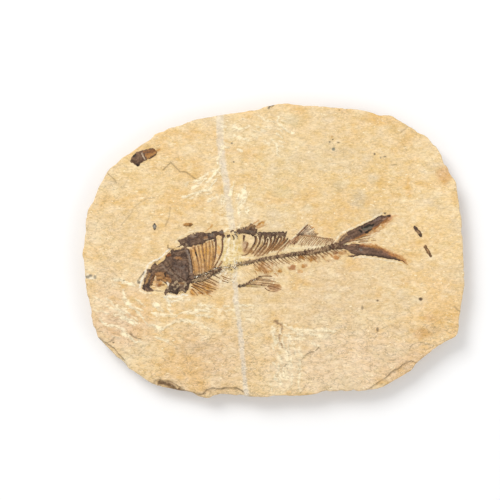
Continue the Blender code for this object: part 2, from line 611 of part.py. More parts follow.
def tail_lobe(name, outline, rays):
    """One lobe: a thin web with the raised rays grown onto it, fanning out to its tip."""
    piece = placed(name, flat_plate(name, outline, BONE_FLOOR, TAIL_PLATE), "fin_bone")
    floor = BONE_FLOOR + TAIL_PLATE - TAIL_RAY_WIDTH * 0.45
    rods = [
        tapered_rod(f"{name}_ray_{number}", path, TAIL_RAY_WIDTH, floor, tip=0.5)
        for number, path in enumerate(rays)
    ]
    return combined(piece, rods, "UNION")


tail_lobe("tail_upper_lobe", UPPER_LOBE, UPPER_LOBE_RAYS)
tail_lobe("tail_lower_lobe", LOWER_LOBE, LOWER_LOBE_RAYS)
for ray_name, ray_path in MIDDLE_RAYS.items():
    placed(ray_name, tapered_rod(ray_name, ray_path, FIN_RAY_WIDTH, BONE_FLOOR), "fin_bone")


# ---------------------------------------------------------------- loose fragments on the face

SCALE_FRAGMENT = [
    (-60.3, 37.8), (-59.6, 39.5), (-58.6, 40.7), (-55.7, 42.2), (-53.1, 42.8), (-50.6, 43.1), (-49.8, 42.8),
    (-48.9, 41.6), (-49.4, 40.3), (-51.0, 39.3), (-53.1, 38.2), (-55.7, 37.0), (-56.9, 35.7), (-57.8, 35.9),
    (-59.9, 37.4),
]
FRAGMENTS = {
    "scale_fragment": (SCALE_FRAGMENT, FRAGMENT_PLATE),
    "plant_fragment_upper": ([(58.6, 9.8), (59.6, 10.6), (60.7, 9.4), (62.5, 6.8), (62.2, 5.9), (61.0, 6.2), (59.6, 8.3)], 0.3),
    "plant_fragment_lower": ([(63.0, 2.0), (63.8, 2.7), (65.0, 1.0), (66.7, -2.0), (66.3, -2.8), (65.5, -2.2), (64.0, 0.2)], 0.3),
}
for fragment_name, (fragment_outline, fragment_height) in FRAGMENTS.items():
    plate_mesh = flat_plate(fragment_name, fragment_outline, BONE_FLOOR, fragment_height)
    placed(fragment_name, plate_mesh, "plant_film")

# Pellets: place, then length, width, height and the angle that they lie at.
PELLETS = {
    "brown_pellet": (-35.9, 11.0, (4.4, 1.6, 0.6, 8.0)),
    "grey_pellet": (-49.9, 10.3, (2.8, 1.6, 0.6, 95.0)),
}
for pellet_name, (pellet_x, pellet_y, pellet_size) in PELLETS.items():
    placed(pellet_name, grain(pellet_name, pellet_x, pellet_y, BONE_FLOOR, pellet_size), "pellet")


# ---------------------------------------------------------------- millimetres to metres

for piece in PIECES.objects:
    piece.data.transform(Matrix.Scale(MM, 4))
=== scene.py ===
import math

import bpy
import numpy as np
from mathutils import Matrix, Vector
from mathutils.geometry import delaunay_2d_cdt


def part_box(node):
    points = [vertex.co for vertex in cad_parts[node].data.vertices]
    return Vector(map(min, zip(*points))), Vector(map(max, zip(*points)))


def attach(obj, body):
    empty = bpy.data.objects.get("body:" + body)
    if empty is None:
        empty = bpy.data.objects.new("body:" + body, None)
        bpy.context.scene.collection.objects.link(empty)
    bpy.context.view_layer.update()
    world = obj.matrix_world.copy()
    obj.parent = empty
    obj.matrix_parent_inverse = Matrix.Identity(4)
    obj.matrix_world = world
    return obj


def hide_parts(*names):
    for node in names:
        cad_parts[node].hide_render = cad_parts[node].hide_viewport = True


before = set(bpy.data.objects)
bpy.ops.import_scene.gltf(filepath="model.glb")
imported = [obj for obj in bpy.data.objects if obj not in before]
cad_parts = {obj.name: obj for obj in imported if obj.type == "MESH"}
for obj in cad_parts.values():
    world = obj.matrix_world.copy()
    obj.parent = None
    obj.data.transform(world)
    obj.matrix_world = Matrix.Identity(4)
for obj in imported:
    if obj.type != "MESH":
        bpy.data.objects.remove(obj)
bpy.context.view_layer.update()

# -------- the limestone plate
# One piece of fine yellow limestone, split from its bed along a bedding plane and trimmed to a rough oval
# with a hammer. Its face keeps the stains of the bed, its wall shows the thin layers that it is made of,
# and shallow flakes have come off along the lower edge.

MM = 0.001
face_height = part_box("limestone_slab")[1].z / MM
swell_height = 0.16
tooth_height = 0.07
crack_depth = 0.22
rim_step = 0.62
fine_step = 0.31
coarse_every = 2
floor_step = 2.6
ring_levels = (
    0.985, 0.95, 0.9, 0.84, 0.78, 0.71, 0.64, 0.57, 0.5, 0.43, 0.36, 0.29, 0.22, 0.15, 0.08, 0.03, 0,
)
hewn_outline = [
    (-80.3, -2.9), (-79.4, 4), (-78.1, 17.2), (-69.9, 33.2), (-66.2, 36.5), (-62.8, 39.9), (-57.8, 43.3),
    (-51.9, 46.8), (-49.8, 49.1), (-46.8, 50.8), (-39.3, 52.9), (-32.1, 55.4), (-12.8, 58.7), (-6.5, 59.4),
    (-2.3, 61.3), (2.7, 61.9), (6.9, 62), (13.2, 61.1), (25.8, 60.7), (40.5, 58.7), (45.6, 57.3),
    (50.2, 56.7), (66.2, 46.6), (74.1, 33.6), (77.1, 28.1), (78.8, 15.1), (79.3, 9), (80.3, -14.3),
    (78.8, -22.7), (77.3, -34.9), (72, -38.2), (65.7, -42.6), (60.3, -47), (57.8, -50.4), (48.1, -56.1),
    (44.7, -57.8), (38.4, -58.8), (32.1, -59.3), (25, -58.9), (17.9, -60.1), (11.1, -60.8), (-5.7, -61.4),
    (-19.1, -60.5), (-24.6, -60.7), (-27.5, -62), (-31.7, -61.1), (-35.1, -59.2), (-41.4, -59),
    (-49.8, -56.7), (-53.6, -54.6), (-62.4, -47.9), (-72.5, -37.8), (-75, -34.4), (-77.9, -20.6),
]


def linear(colour):
    """A colour written as RRGGBB, as the linear values that a material holds."""
    channels = [int(colour[start:start + 2], 16) / 255 for start in (0, 2, 4)]
    return np.array([c / 12.92 if c < 0.04045 else ((c + 0.055) / 1.055) ** 2.4 for c in channels])


def eased(values):
    """The values held between 0 and 1, with a soft start and end."""
    held = np.clip(values, 0, 1)
    return held * held * (3 - 2 * held)


def above(values, level, sharpness):
    """0 where the values are under a level, and 1 where they are well over it."""
    return eased((values - level) * sharpness)


def below(values, level, sharpness):
    """0 where the values are over a level, and 1 where they are well under it."""
    return eased((level - values) * sharpness)


def mottle(points, size, seed, octaves=1, stretch=1):
    """Smooth random values from 0 to 1, in patches about size wide; stretch makes them longer along X."""
    total = np.zeros(len(points))
    weight = 0
    for octave in range(octaves):
        table = np.random.default_rng(seed + 101 * octave).random((64, 64))
        cell = np.asarray(points, float)[:, :2] * (2**octave / size) * (1 / stretch, 1) + 640
        low = np.floor(cell).astype(int)
        share = eased(cell - low)
        x0, y0 = (low % 64).T
        x1, y1 = ((low + 1) % 64).T
        near = table[x0, y0] * (1 - share[:, 0]) + table[x1, y0] * share[:, 0]
        far = table[x0, y1] * (1 - share[:, 0]) + table[x1, y1] * share[:, 0]
        total += (near * (1 - share[:, 1]) + far * share[:, 1]) * 0.5**octave
        weight += 0.5**octave
    return total / weight


def wandered(points, reach, size, seed):
    """The points moved about by up to reach, so that a mark laid on them has a natural edge."""
    shift = np.stack([mottle(points, size, seed), mottle(points, size, seed + 7)], 1) - 0.5
    return np.asarray(points, float) + shift * 2 * reach


def distance_to(points, path):
    """Each point's distance to a path, and the share of the path's length at its nearest place."""
    best = np.full(len(points), 1e9)
    share = np.zeros(len(points))
    lengths = [math.dist(a, b) for a, b in zip(path, path[1:])]
    gone = 0
    for (ax, ay), (bx, by), length in zip(path, path[1:], lengths):
        dx, dy = bx - ax, by - ay
        at = ((points[:, 0] - ax) * dx + (points[:, 1] - ay) * dy) / max(length * length, 1e-12)
        at = np.clip(at, 0, 1)
        away = np.hypot(points[:, 0] - ax - at * dx, points[:, 1] - ay - at * dy)
        closer = away < best
        best[closer] = away[closer]
        share[closer] = (gone + at[closer] * length) / sum(lengths)
        gone += length
    return best, share


def near_to(points, path, margin):
    """Whether each point lies in the box round a path, with a margin."""
    line = np.array(path)
    return ((points > line.min(0) - margin) & (points < line.max(0) + margin)).all(1)


def stroke(points, path, width, soft, tip=1):
    """How far a point lies inside a stroke along a path: 1 in it, falling to 0 over soft beyond its edge."""
    mask = np.zeros(len(points))
    near = near_to(points, path, width / 2 + soft)
    if near.any():
        away, share = distance_to(points[near], path)
        half = width / 2 * (1 - (1 - tip) * share)
        mask[near] = eased(1 - (away - half) / soft)
    return mask


def turned(vectors, degrees):
    """Vectors, given as all their X and all their Y, turned by some degrees."""
    x, y = vectors
    turn = math.radians(degrees)
    return np.array([x * math.cos(turn) - y * math.sin(turn), x * math.sin(turn) + y * math.cos(turn)])


def spot(points, x, y, long, wide, turn=0, soft=0.4):
    """How far a point lies inside an oval: long and wide are its half axes, turn its angle in degrees."""
    along, across = turned((points - (x, y)).T, -turn)
    return eased((1 - np.hypot(along / long, across / wide)) / soft + 0.5)


def plain(points, colour):
    """One colour at every point."""
    return np.tile(linear(colour), (len(points), 1))


def laid_over(colours, *layers):
    """The colours with more laid over them, each given as a colour and then how strongly it lies."""
    for colour, mask in zip(layers[::2], layers[1::2]):
        colours = colours + (linear(colour) - colours) * np.clip(mask, 0, 1)[:, None]
    return colours


def with_spots(colours, points, spots, soft):
    """Colours with soft-edged ovals laid over them: x, y, half width, half height, colour, strength."""
    for x, y, wide, high, colour, strength in spots:
        colours = laid_over(colours, colour, strength * spot(points, x, y, wide, high, soft=soft))
    return colours


def with_lines(colours, points, lines, share=0.7, tip=1, cover=1):
    """Colours with lines laid over them, each a path, width, colour and strength."""
    for path, width, colour, strength in lines:
        colours = laid_over(colours, colour, strength * stroke(points, path, width * share, 0.3, tip) * cover)
    return colours


def inside(points, outline):
    """Whether each point lies in a closed outline."""
    found = np.zeros(len(points), bool)
    for (ax, ay), (bx, by) in zip(outline, np.roll(outline, -1, 0)):
        if ay == by:
            continue
        crosses = (points[:, 1] >= min(ay, by)) & (points[:, 1] < max(ay, by))
        meets = ax + (points[:, 1] - ay) / (by - ay) * (bx - ax)
        found ^= crosses & (points[:, 0] < meets)
    return found


def walk(path, distances):
    """The places at some distances along a path, and its whole length."""
    line = np.array(path, float)
    marks = np.concatenate([[0], np.cumsum(np.hypot(*np.diff(line, axis=0).T))])
    return np.stack([np.interp(distances, marks, line[:, axis]) for axis in (0, 1)], -1), marks[-1]


def closed(outline):
    """The outline's points, with the first one again at the end."""
    return [*outline, outline[0]]


def evenly(path, step):
    """A path's points again, about one step apart."""
    length = walk(path, 0)[1]
    return walk(path, np.linspace(0, length, max(2, round(length / step)) + 1))[0]


def rounded(outline, step):
    """A smooth closed line through the outline's points, with its points about one step apart."""
    line = np.array(outline, float)
    spans = []
    for index in range(len(line)):
        before, here, after, beyond = (line[(index + k) % len(line)] for k in (-1, 0, 1, 2))
        for t in (0, 0.25, 0.5, 0.75):
            pull = (after - before) * 0.35
            push = (beyond - here) * 0.35
            spans.append(
                (2 * t**3 - 3 * t**2 + 1) * here + (t**3 - 2 * t**2 + t) * pull
                + (3 * t**2 - 2 * t**3) * after + (t**3 - t**2) * push
            )
    return evenly(closed(spans), step)[:-1]


def side_ways(line):
    """The unit direction to the left of a line at each of its points."""
    along = np.gradient(line, axis=0)
    return np.stack([-along[:, 1], along[:, 0]], 1) / np.maximum(np.hypot(*along.T), 1e-9)[:, None]


def lattice_points(low, high, step):
    """A square lattice of points between two corners."""
    return np.stack(np.meshgrid(*(np.arange(a, b, step) for a, b in zip(low, high))), -1).reshape(-1, 2)


def outward_ways(ring):
    """The unit direction out of a clockwise ring at each of its points."""
    return side_ways(np.concatenate([ring[-1:], ring, ring[:1]]))[1:-1]


def triangles_over(rim, inner):
    """Triangles over a rim and the points inside it, which keep their order, rim first."""
    places = np.concatenate([rim, inner])
    edges = [(index, (index + 1) % len(rim)) for index in range(len(rim))]
    points, _, faces, *_ = delaunay_2d_cdt([Vector(p) for p in places], edges, [], 0, 1e-5, True)
    if len(points) != len(places):
        raise ValueError("points of a face lie on one another")
    corners = np.array(faces)
    between = (corners < len(rim)).all(1)
    held = ~between
    held[between] = inside(places[corners[between]].mean(1), rim)
    return [tuple(map(int, face)) for face in corners[held]]


def closed_mesh(name, rim, inner, heights, rings, floor_inner=None):
    """A closed piece: a face with a height at every point, walls down through the rings, and a floor."""
    count = len(rim)
    points = [np.column_stack([np.concatenate([rim, inner]), heights])]
    faces = triangles_over(rim, inner)
    total = count + len(inner)
    upper = list(range(count))
    for ring in rings:
        lower = list(range(total, total + count))
        points.append(ring)
        total += count
        for index in range(count):
            after = (index + 1) % count
            faces.append((upper[index], upper[after], lower[after], lower[index]))
        upper = lower
    if floor_inner is None:
        faces.append(tuple(reversed(upper)))
    else:
        floor_faces = triangles_over(rings[-1][:, :2], floor_inner[:, :2])
        lookup = upper + list(range(total, total + len(floor_inner)))
        points.append(floor_inner)
        faces += [tuple(lookup[index] for index in reversed(face)) for face in floor_faces]
    mesh = bpy.data.meshes.new(name)
    mesh.from_pydata((np.concatenate(points) * MM).tolist(), [], faces)
    mesh.validate()
    outwards(mesh)
    mesh.shade_smooth()
    return mesh


def outwards(mesh):
    """Turns a closed mesh's faces out, if they were made facing in."""
    mesh.calc_loop_triangles()
    volume = 0
    for triangle in mesh.loop_triangles:
        a, b, c = (mesh.vertices[index].co for index in triangle.vertices)
        volume += a.dot(b.cross(c))
    if volume < 0:
        mesh.flip_normals()


def painted(mesh, colours, name="bone_colour"):
    """Gives a mesh one colour for each point."""
    layer = mesh.color_attributes.new(name, "FLOAT_COLOR", "POINT")
    layer.data.foreach_set("color", np.column_stack([colours, np.ones(len(colours))]).ravel())
    return mesh


def graded(mesh, name, values):
    """Gives a mesh one number for each point."""
    mesh.attributes.new(name, "FLOAT", "POINT").data.foreach_set("value", values)


def in_scene(name, made):
    """A new object at the origin that holds a mesh, a lamp or a camera."""
    thing = bpy.data.objects.new(name, made)
    bpy.context.scene.collection.objects.link(thing)
    return thing


def set_in_place(name, mesh, finish, nodes):
    """A finished piece of the slab, in place of the CAD nodes that stand for it."""
    mesh.materials.clear()
    mesh.materials.append(finish)
    piece = in_scene(name, mesh)
    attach(piece, "root")
    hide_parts(*nodes)


# Flakes lost from the face: the part of the edge that each took, its depth, and the run of its broken step,
# along which painted shade is drawn.
flakes = [
    ([(36.5, -66), (39.3, -58.4), (41.8, -56.5), (47.3, -53.1), (50.2, -50.4), (52.7, -49.1),
     (54.8, -47.5), (57.8, -46.2), (66, -49), (66, -66)], 0.9),
    ([(-52, -66), (-50.4, -54.5), (-47.8, -54), (-43, -55), (-37.5, -58.4), (-32.6, -59.9), (-30, -60.3),
     (-27.9, -58.2), (-25.4, -57.3), (-22.5, -58), (-19.1, -57.3), (-14.9, -57.8), (-12.8, -59.2),
     (-11, -66)], 1.2),
    ([(-84, -35), (-74.6, -35.4), (-72.5, -37.4), (-67.4, -40.5), (-61.8, -46.8), (-60.5, -54),
     (-84, -54)], 1), ([(-1.6, 64), (-1.4, 61.2), (-0.7, 60.4), (0.2, 60.9), (0.5, 64)], 1.1),
]
# Hairline cracks and the edges of thin skins of stone: path, then how dark it is. The dark line painted along
# each is painted shade in the crack.
cracks = [
    ([(-46.4, 34), (-43.1, 37.2), (-39.3, 33.3), (-36.8, 33.2), (-32.6, 30.2)], 0.55),
    ([(-50, 22.4), (-53, 22), (-55.8, 20.6), (-58.4, 18.3), (-60, 15.5), (-64, 10.8)], 0.3),
    ([(-43.3, 18.5), (-43.7, 14.7), (-45.3, 10.4)], 0.35),
    ([(-69.9, 32.8), (-66.8, 30), (-66, 28.6)], 0.5),
    ([(12.4, -44.9), (13.6, -43.7), (15.3, -42.7), (17.4, -42.3), (19.1, -40.5)], 0.6),
    ([(4.7, -48.4), (5.2, -47.8), (6.9, -47.5)], 0.75),
    ([(-60.3, -34.7), (-58.6, -36.1), (-57, -36.8), (-55.8, -36.9)], 0.65),
    ([(-72.6, -37.6), (-69.9, -38.7), (-67.9, -37.6), (-66.6, -36.3)], 0.45),
    ([(53.6, 49.9), (56.4, 52)], 0.35), ([(54.2, 45.2), (55.9, 42.4)], 0.3),
    ([(57.2, -41.4), (57.8, -39.9), (59, -38.9), (61.5, -38.4), (67.4, -39.9)], 0.35),
    ([(45.6, -32.7), (49.2, -30.9), (52.4, -32.6)], 0.25), ([(75.8, -23.2), (78.4, -25.6)], 0.4),
    ([(-70, -28.6), (-67, -29.4), (-64.6, -28.4)], 0.25),
    ([(8.4, -60), (11, -59.9), (12.6, -58.2), (13.6, -56.2)], 0.35),
]
# Grains and spots on the face, and the pale and grey chips at its left edge: x, y, half width, half height,
# colour, strength.
grains = [
    (-76.6, -11.4, 1.6, 0.5, "F3E9D2", 0.8), (-78.2, -10.3, 0.8, 1.2, "EFE4CC", 0.5),
    (-78.2, -10.9, 1, 0.6, "6C675F", 0.9), (-76.9, -10.4, 0.8, 0.6, "77736B", 0.9),
    (45, 39.2, 0.4, 0.4, "84755C", 0.8), (46.9, 39.7, 0.7, 0.3, "84755C", 0.75),
    (50.6, 36.2, 1.4, 0.3, "A0885B", 0.7), (30.8, 59.8, 0.5, 0.35, "85693E", 0.8),
    (-75, -10.9, 0.65, 0.8, "6F675A", 0.9), (-56.7, -13.1, 0.8, 0.75, "5C5347", 0.9),
    (-62.9, -12.5, 0.45, 0.4, "57503F", 0.85), (-21.8, 43.7, 0.45, 0.4, "63594C", 0.85),
    (-17.5, 45.2, 0.5, 0.35, "5A5147", 0.9), (-16.7, 37.4, 0.42, 0.38, "6D6355", 0.8),
    (25.2, 42.8, 0.75, 0.7, "77796B", 0.85), (23.6, 45.8, 0.4, 0.35, "615646", 0.85),
    (24.9, 46.9, 0.45, 0.35, "5F5344", 0.85), (27.3, 45.6, 0.55, 0.3, "7A6142", 0.75),
    (24.6, 48.1, 0.4, 0.45, "C08D4C", 0.7), (42.5, 40.7, 0.42, 0.5, "6C5E48", 0.85),
    (46.7, 39.6, 0.6, 0.25, "84755C", 0.7), (50.6, 36.2, 1.4, 0.2, "A0885B", 0.6),
    (27.6, 59.2, 0.4, 0.3, "8D7347", 0.75), (30.8, 59.8, 0.5, 0.3, "85693E", 0.8),
    (61.8, -20.2, 0.85, 0.7, "54402F", 0.95), (43.7, -20.8, 0.5, 0.45, "6E563B", 0.85),
    (37.3, -23.9, 0.5, 0.8, "8E7960", 0.75), (43.7, -32.9, 0.55, 0.95, "84725B", 0.8),
    (-67.2, -38.4, 0.4, 0.35, "6E5B48", 0.85), (46.8, 15.9, 0.5, 0.35, "4C453C", 0.95),
    (44.8, 0.7, 0.5, 0.45, "3F342B", 0.9), (45.9, -2.5, 0.4, 0.35, "453A30", 0.8),
    (76.2, 26, 0.35, 0.4, "A2895F", 0.6),
]


def flake_depths(points):
    """How far the flakes take the face down at each point, with a ragged step at each one's edge."""
    depths = np.zeros(len(points))
    moved = wandered(points, 0.35, 1.3, 21)
    for outline, depth in flakes:
        near = near_to(points, outline, 2)
        if not near.any():
            continue
        away, _ = distance_to(moved[near], closed(outline))
        signed = np.where(inside(moved[near], outline), away, -away)
        depths[near] = np.maximum(depths[near], depth * eased(signed / 0.45 + 0.5))
    return depths


def groove_depths(points):
    """How far the hairline cracks cut into the face at each point, the dark ones deepest."""
    depths = np.zeros(len(points))
    for path, darkness in cracks:
        depths = np.maximum(depths, crack_depth * darkness * stroke(points, path, 0.1, 0.28))
    return depths


def face_heights(points):
    """The height of the split face: gentle swells, a fine tooth, flakes and cracks."""
    swell = (mottle(points, 14, 3, 3) - 0.5) * swell_height
    tooth = (mottle(points, 1.5, 5, 2, stretch=1.5) - 0.5) * tooth_height
    return face_height - 0.1 + swell + tooth - flake_depths(points) - groove_depths(points)


fish_zone = [
    (-58, -18), (-58, -12), (-53, -3), (-38, 8), (-24, 11.5), (-10, 13.5), (-4, 12), (0, 9.5), (9, 10),
    (14, 12.6), (18, 12.4), (22, 8), (28, 9), (47, 17.4), (53, 16.4), (50, 11), (44, 6), (58.5, -5),
    (57.5, -8), (44, -5), (31, -5), (16, -8.5), (4, -18.4), (-16, -16.6), (-22, -20.6), (-50, -22.5),
]


def beside(path, step, offsets):
    """Points along a path at each of some distances to its side."""
    line = evenly(path, step)
    return np.concatenate([line + side_ways(line) * offset for offset in offsets])


def plate_points(rim):
    """The points of the face: a coarse lattice, finer round the fish and the marks, closest at the cracks."""
    lattice = lattice_points((-82, -64), (82, 64), fine_step)
    steps = np.rint((lattice - lattice[0]) / fine_step).astype(int)
    wanted = (steps % coarse_every == 0).all(1) | inside(lattice, fish_zone)
    lines = [(path, 0.9) for path, _ in cracks] + [(path, width + 0.9) for path, width, _ in chalk_marks]
    for path, width in lines + [(outline[1:-1], 1.4) for outline, _ in flakes]:
        wanted |= stroke(lattice, path, width, 0.01) > 0.5
    for x, y, wide, high, _, _ in grains:
        wanted |= np.hypot(lattice[:, 0] - x, lattice[:, 1] - y) < max(wide, high) + 0.5
    jitter = np.random.default_rng(4).uniform(-0.2, 0.2, lattice.shape) * fine_step
    chosen = (lattice + jitter)[wanted]
    for path, _ in cracks:
        guard = stroke(chosen, path, 0.5, 0.01) > 0.5
        chosen = np.concatenate([chosen[~guard], beside(path, 0.34, (-0.2, 0, 0.2))])
    return chosen[inside(chosen, rim - outward_ways(rim) * 0.33)]


def unique_points(points, least):
    """The points with any that fall within least of an earlier one left out."""
    cells = {}
    kept = []
    for index, (x, y) in enumerate(points):
        key = (math.floor(x / least), math.floor(y / least))
        around = (cells.get((key[0] + i, key[1] + j)) for i in (-1, 0, 1) for j in (-1, 0, 1))
        if any(other is not None and math.dist(points[other], (x, y)) < least for other in around):
            continue
        cells[key] = index
        kept.append(index)
    return points[kept]


def wall_rings(rim, top):
    """The hewn wall: each ring stands back as far as the thin beds there broke away."""
    out = outward_ways(rim)
    around = np.arange(len(rim)) * rim_step
    rings = []
    for level in ring_levels:
        height = top * level
        place = np.column_stack([around, height * 9])
        bed = mottle(np.column_stack([around / 3, height * 11]), 7, 31, 2)
        break_off = mottle(place, 6, 33, 3)
        back = 1.25 * np.clip(bed - 0.35, 0, 1) + 0.9 * np.clip(break_off - 0.45, 0, 1)
        fade = eased(np.clip((top - height) / 1.2, 0, 1))
        foot = 0.7 * eased(1 - height / 1.1)
        rings.append(np.column_stack([rim - out * (back * fade + foot)[:, None], height]))
    return rings


# Broad tints, stains and cooler patches of the face: x, y, half width, half height, colour, strength.
tint_patches = [
    (-68, 5, 20, 30, "ECCE9F", 0.7), (-56, 27, 16, 12, "ECCD98", 0.7), (0, 30, 22, 18, "EBD1A1", 0.6),
    (38, 30, 20, 20, "EDCC94", 0.75), (70, 12, 15, 34, "F5D6A2", 0.9), (68, -22, 14, 16, "F1CD97", 0.8),
    (32, -46, 28, 14, "EFD2AC", 0.85), (24, -20, 22, 14, "E8CBA0", 0.8),
    (-30, -47, 18, 14, "E6C69C", 0.85), (5, -46, 10, 14, "EDD4AF", 0.7),
    (-64, -26, 14, 14, "EDCEA6", 0.8), (60, -50, 16, 10, "EBC89D", 0.6),
]
stains = [
    (72, 32, 3.2, 4, "DEAF74", 0.8), (62, -35, 4, 2, "DDB077", 0.7), (65.5, -28, 2.6, 1.5, "E0B67F", 0.7),
    (44, 55.5, 3.4, 2.4, "E8BE7C", 0.7), (29, 58.6, 3, 1.2, "E6BF83", 0.6),
    (57, 27, 0.9, 5, "EDC282", 0.7), (-12.5, 30.5, 4, 4, "EBC78D", 0.5),
    (-62, -13.6, 2.6, 1.2, "EBC185", 0.7), (-60.5, -20.5, 3, 1.2, "E9C282", 0.5),
    (54.5, -13, 2.4, 1.6, "E6BE85", 0.6), (44, -33.6, 1.4, 2, "E8C08A", 0.5),
    (55, -4.6, 2.6, 1.4, "E9BE7E", 0.6),
]
cool_patches = [
    (36, 22, 3.4, 4, "DCC7A2", 0.7), (27, 27, 2.6, 3, "DDC8A0", 0.6), (41.5, 30.5, 2.4, 2, "DECAA5", 0.6),
    (43, 16.4, 3, 2, "DCC8A4", 0.6), (14.8, 18, 2.2, 1.6, "DFCDA8", 0.6), (4, 25, 5, 2.4, "E0CB9C", 0.5),
    (8, 55, 3.6, 2.4, "DECBA2", 0.6), (-18, 50, 3, 3, "E1CDA6", 0.6), (-33, -41, 9, 3, "DDC19A", 0.5),
    (-65, -27.4, 4, 2.6, "E2C7A4", 0.5), (-64, -31, 11, 7, "DDB48C", 0.4), (52, -32.6, 4, 1.6, "DFC39A", 0.5),
    (68, -33.6, 5, 2, "D9B98C", 0.5), (-45.6, -56, 4, 1.4, "B08E68", 0.6),
]
# A vein of calcite crosses the whole face, wider above the fish than below it.
upper_vein = [
    (-22.4, 58), (-22.5, 48.7), (-22, 42.4), (-21.2, 36.1), (-20, 29.8), (-19.1, 23.5), (-18.5, 17.2),
    (-17.4, 10),
]
lower_vein = [(-16.2, -8), (-15.8, -20.6), (-14.5, -29), (-11.3, -62)]
# Pale scraper marks and chalky skins, each also given a painted shadow line along its lower right: path,
# width, strength.
chalk_marks = [
    ([(-38.2, 22.6), (-27.9, 25.6), (-23.6, 30.6)], 0.8, 0.8),
    ([(-27.4, 29.6), (-25.6, 31.2), (-22.4, 35.6)], 0.7, 0.8),
    ([(-25.8, 33.6), (-24.6, 34.2), (-21.6, 32)], 0.5, 0.7), ([(-21.4, 43.6), (-23.6, 36.4)], 0.5, 0.7),
    ([(-12.8, 26), (-12.6, 24), (-14, 20), (-14.4, 15.6)], 0.8, 0.85),
    ([(-11.9, 25.4), (-11.8, 23.6), (-12.8, 20.2)], 0.6, 0.8),
    ([(-16.8, 52.4), (-14.4, 51.2), (-10, 52.6)], 0.7, 0.6),
    ([(-9.6, 50.6), (-6.6, 50), (-3.4, 50.4)], 0.5, 0.5), ([(-6, 56.6), (-4, 55), (0.8, 53.8)], 0.5, 0.5),
    ([(2.8, 57.2), (1.6, 55.4), (2.2, 53.6), (6, 50.4), (8.4, 49.4)], 0.6, 0.7),
    ([(1.2, 44.4), (2, 40.4)], 0.7, 0.8), ([(-66.5, -12), (-62, -13.2), (-58.4, -14.6)], 1.1, 1),
    ([(-70.4, -19.6), (-64.6, -25.2), (-62.4, -26.4)], 0.6, 0.55),
    ([(-66, -24.6), (-63.4, -26.2)], 1, 0.9), ([(-62, -25.8), (-57.6, -28.6)], 0.5, 0.6),
    ([(-61.2, -29.2), (-58.6, -30.9)], 0.8, 0.8),
    ([(-63.1, -16.2), (-62.5, -19.5), (-60.8, -22.4), (-57.4, -25.2), (-54.6, -28.6)], 0.6, 0.7),
    ([(-55.2, -27.7), (-53.5, -30.3), (-50.1, -31.9), (-46.2, -32.4), (-41.6, -29.9), (-37.1, -28.8),
      (-30.4, -30.8), (-25.9, -33.6)], 0.5, 0.6), ([(-50.6, -31.6), (-46.4, -32.5)], 0.9, 0.9),
    ([(-49.5, -25.7), (-46.2, -26.9), (-41.6, -27.4), (-38.3, -25.7), (-33.2, -26.3), (-30.4, -25.2),
      (-25.9, -23.5), (-20.8, -25.2), (-15.7, -24.6), (-10.1, -25.2)], 0.5, 0.55),
    ([(-45.2, -19.2), (-43.9, -22.6)], 0.9, 0.9), ([(-50.2, -22.2), (-48.6, -23)], 1.2, 0.9),
    ([(-72.6, -28.6), (-71.8, -30), (-70.2, -31), (-66.8, -31.7)], 0.8, 0.85),
    ([(-64, -33), (-57.6, -38.2), (-56, -37.9)], 0.6, 0.75),
    ([(4.6, -31.2), (8, -32.6), (13, -33.2), (26, -33.7)], 0.5, 0.6),
]


def strewn_streaks(seed, count, low, high, slant, length, width, colours):
    """Short streaks set at random in a box from low to high, all about one slant, in the given colours."""
    chance = np.random.default_rng(seed)
    made = []
    for _ in range(count):
        middle = chance.uniform(low, high)
        turn = slant + chance.uniform(-14, 14)
        half = turned((length * chance.uniform(0.3, 1) / 2, 0), turn)
        size, colour = width * chance.uniform(0.6, 1.4), str(chance.choice(colours))
        made.append(([middle - half, middle + half], size, colour, chance.uniform(0.5, 0.95)))
    return made


# Fine chalk lines by the field: seed, how many, the field's low and high corners, slant, length.
for field in (
    (95, 20, (-73, -38), (-42, -20), -28, 8), (96, 12, (-40, -30), (-4, -20), -6, 8),
    (97, 56, (-1.5, -58), (12, -33), 96, 4), (98, 24, (-22, 42), (6, 57), -20, 3.2),
    (99, 12, (-37, 21), (-23, 36), 30, 3.6), (100, 14, (4, -40), (26, -32), -12, 5),
    (101, 16, (-24, 10), (-10, 30), 80, 3.6),
):
    for path, width, _, strength in strewn_streaks(*field, 0.5, ["chalk"]):
        chalk_marks.append((path, width, 0.85 * strength))
# Chalky clouds: x, y, half length, half width, turn, strength.
chalk_clouds = [
    (-20, 15, 3.5, 6, 0, 0.55), (-13.5, 20, 1.8, 6, 0, 0.6), (-30, 24.5, 8, 2.2, 20, 0.45),
    (-24, 31, 3, 5, -20, 0.5), (-13, 49, 8, 5, 0, 0.4), (-2, 51, 8, 4, -10, 0.35), (4, 55, 5, 4, 30, 0.35),
    (-62, -28, 12, 4, -24, 0.2), (-50, -30, 8, 2, -20, 0.35), (-62, -13, 7, 1.2, -12, 0.45),
    (-42, -20, 6, 1.6, 0, 0.55), (-28, -25.5, 12, 3, -6, 0.45), (-8, -27, 8, 2.4, -14, 0.4),
    (7, -45, 5, 14, 4, 0.35), (14, -36, 10, 4, -4, 0.3), (3, -56, 7, 4, 0, 0.4), (-17.5, 0, 3.6, 8, 0, 0.5),
    (-18, -8, 4, 3, 0, 0.45), (-20, -12, 5, 3, 0, 0.35), (30, -50, 8, 3, 10, 0.25),
]
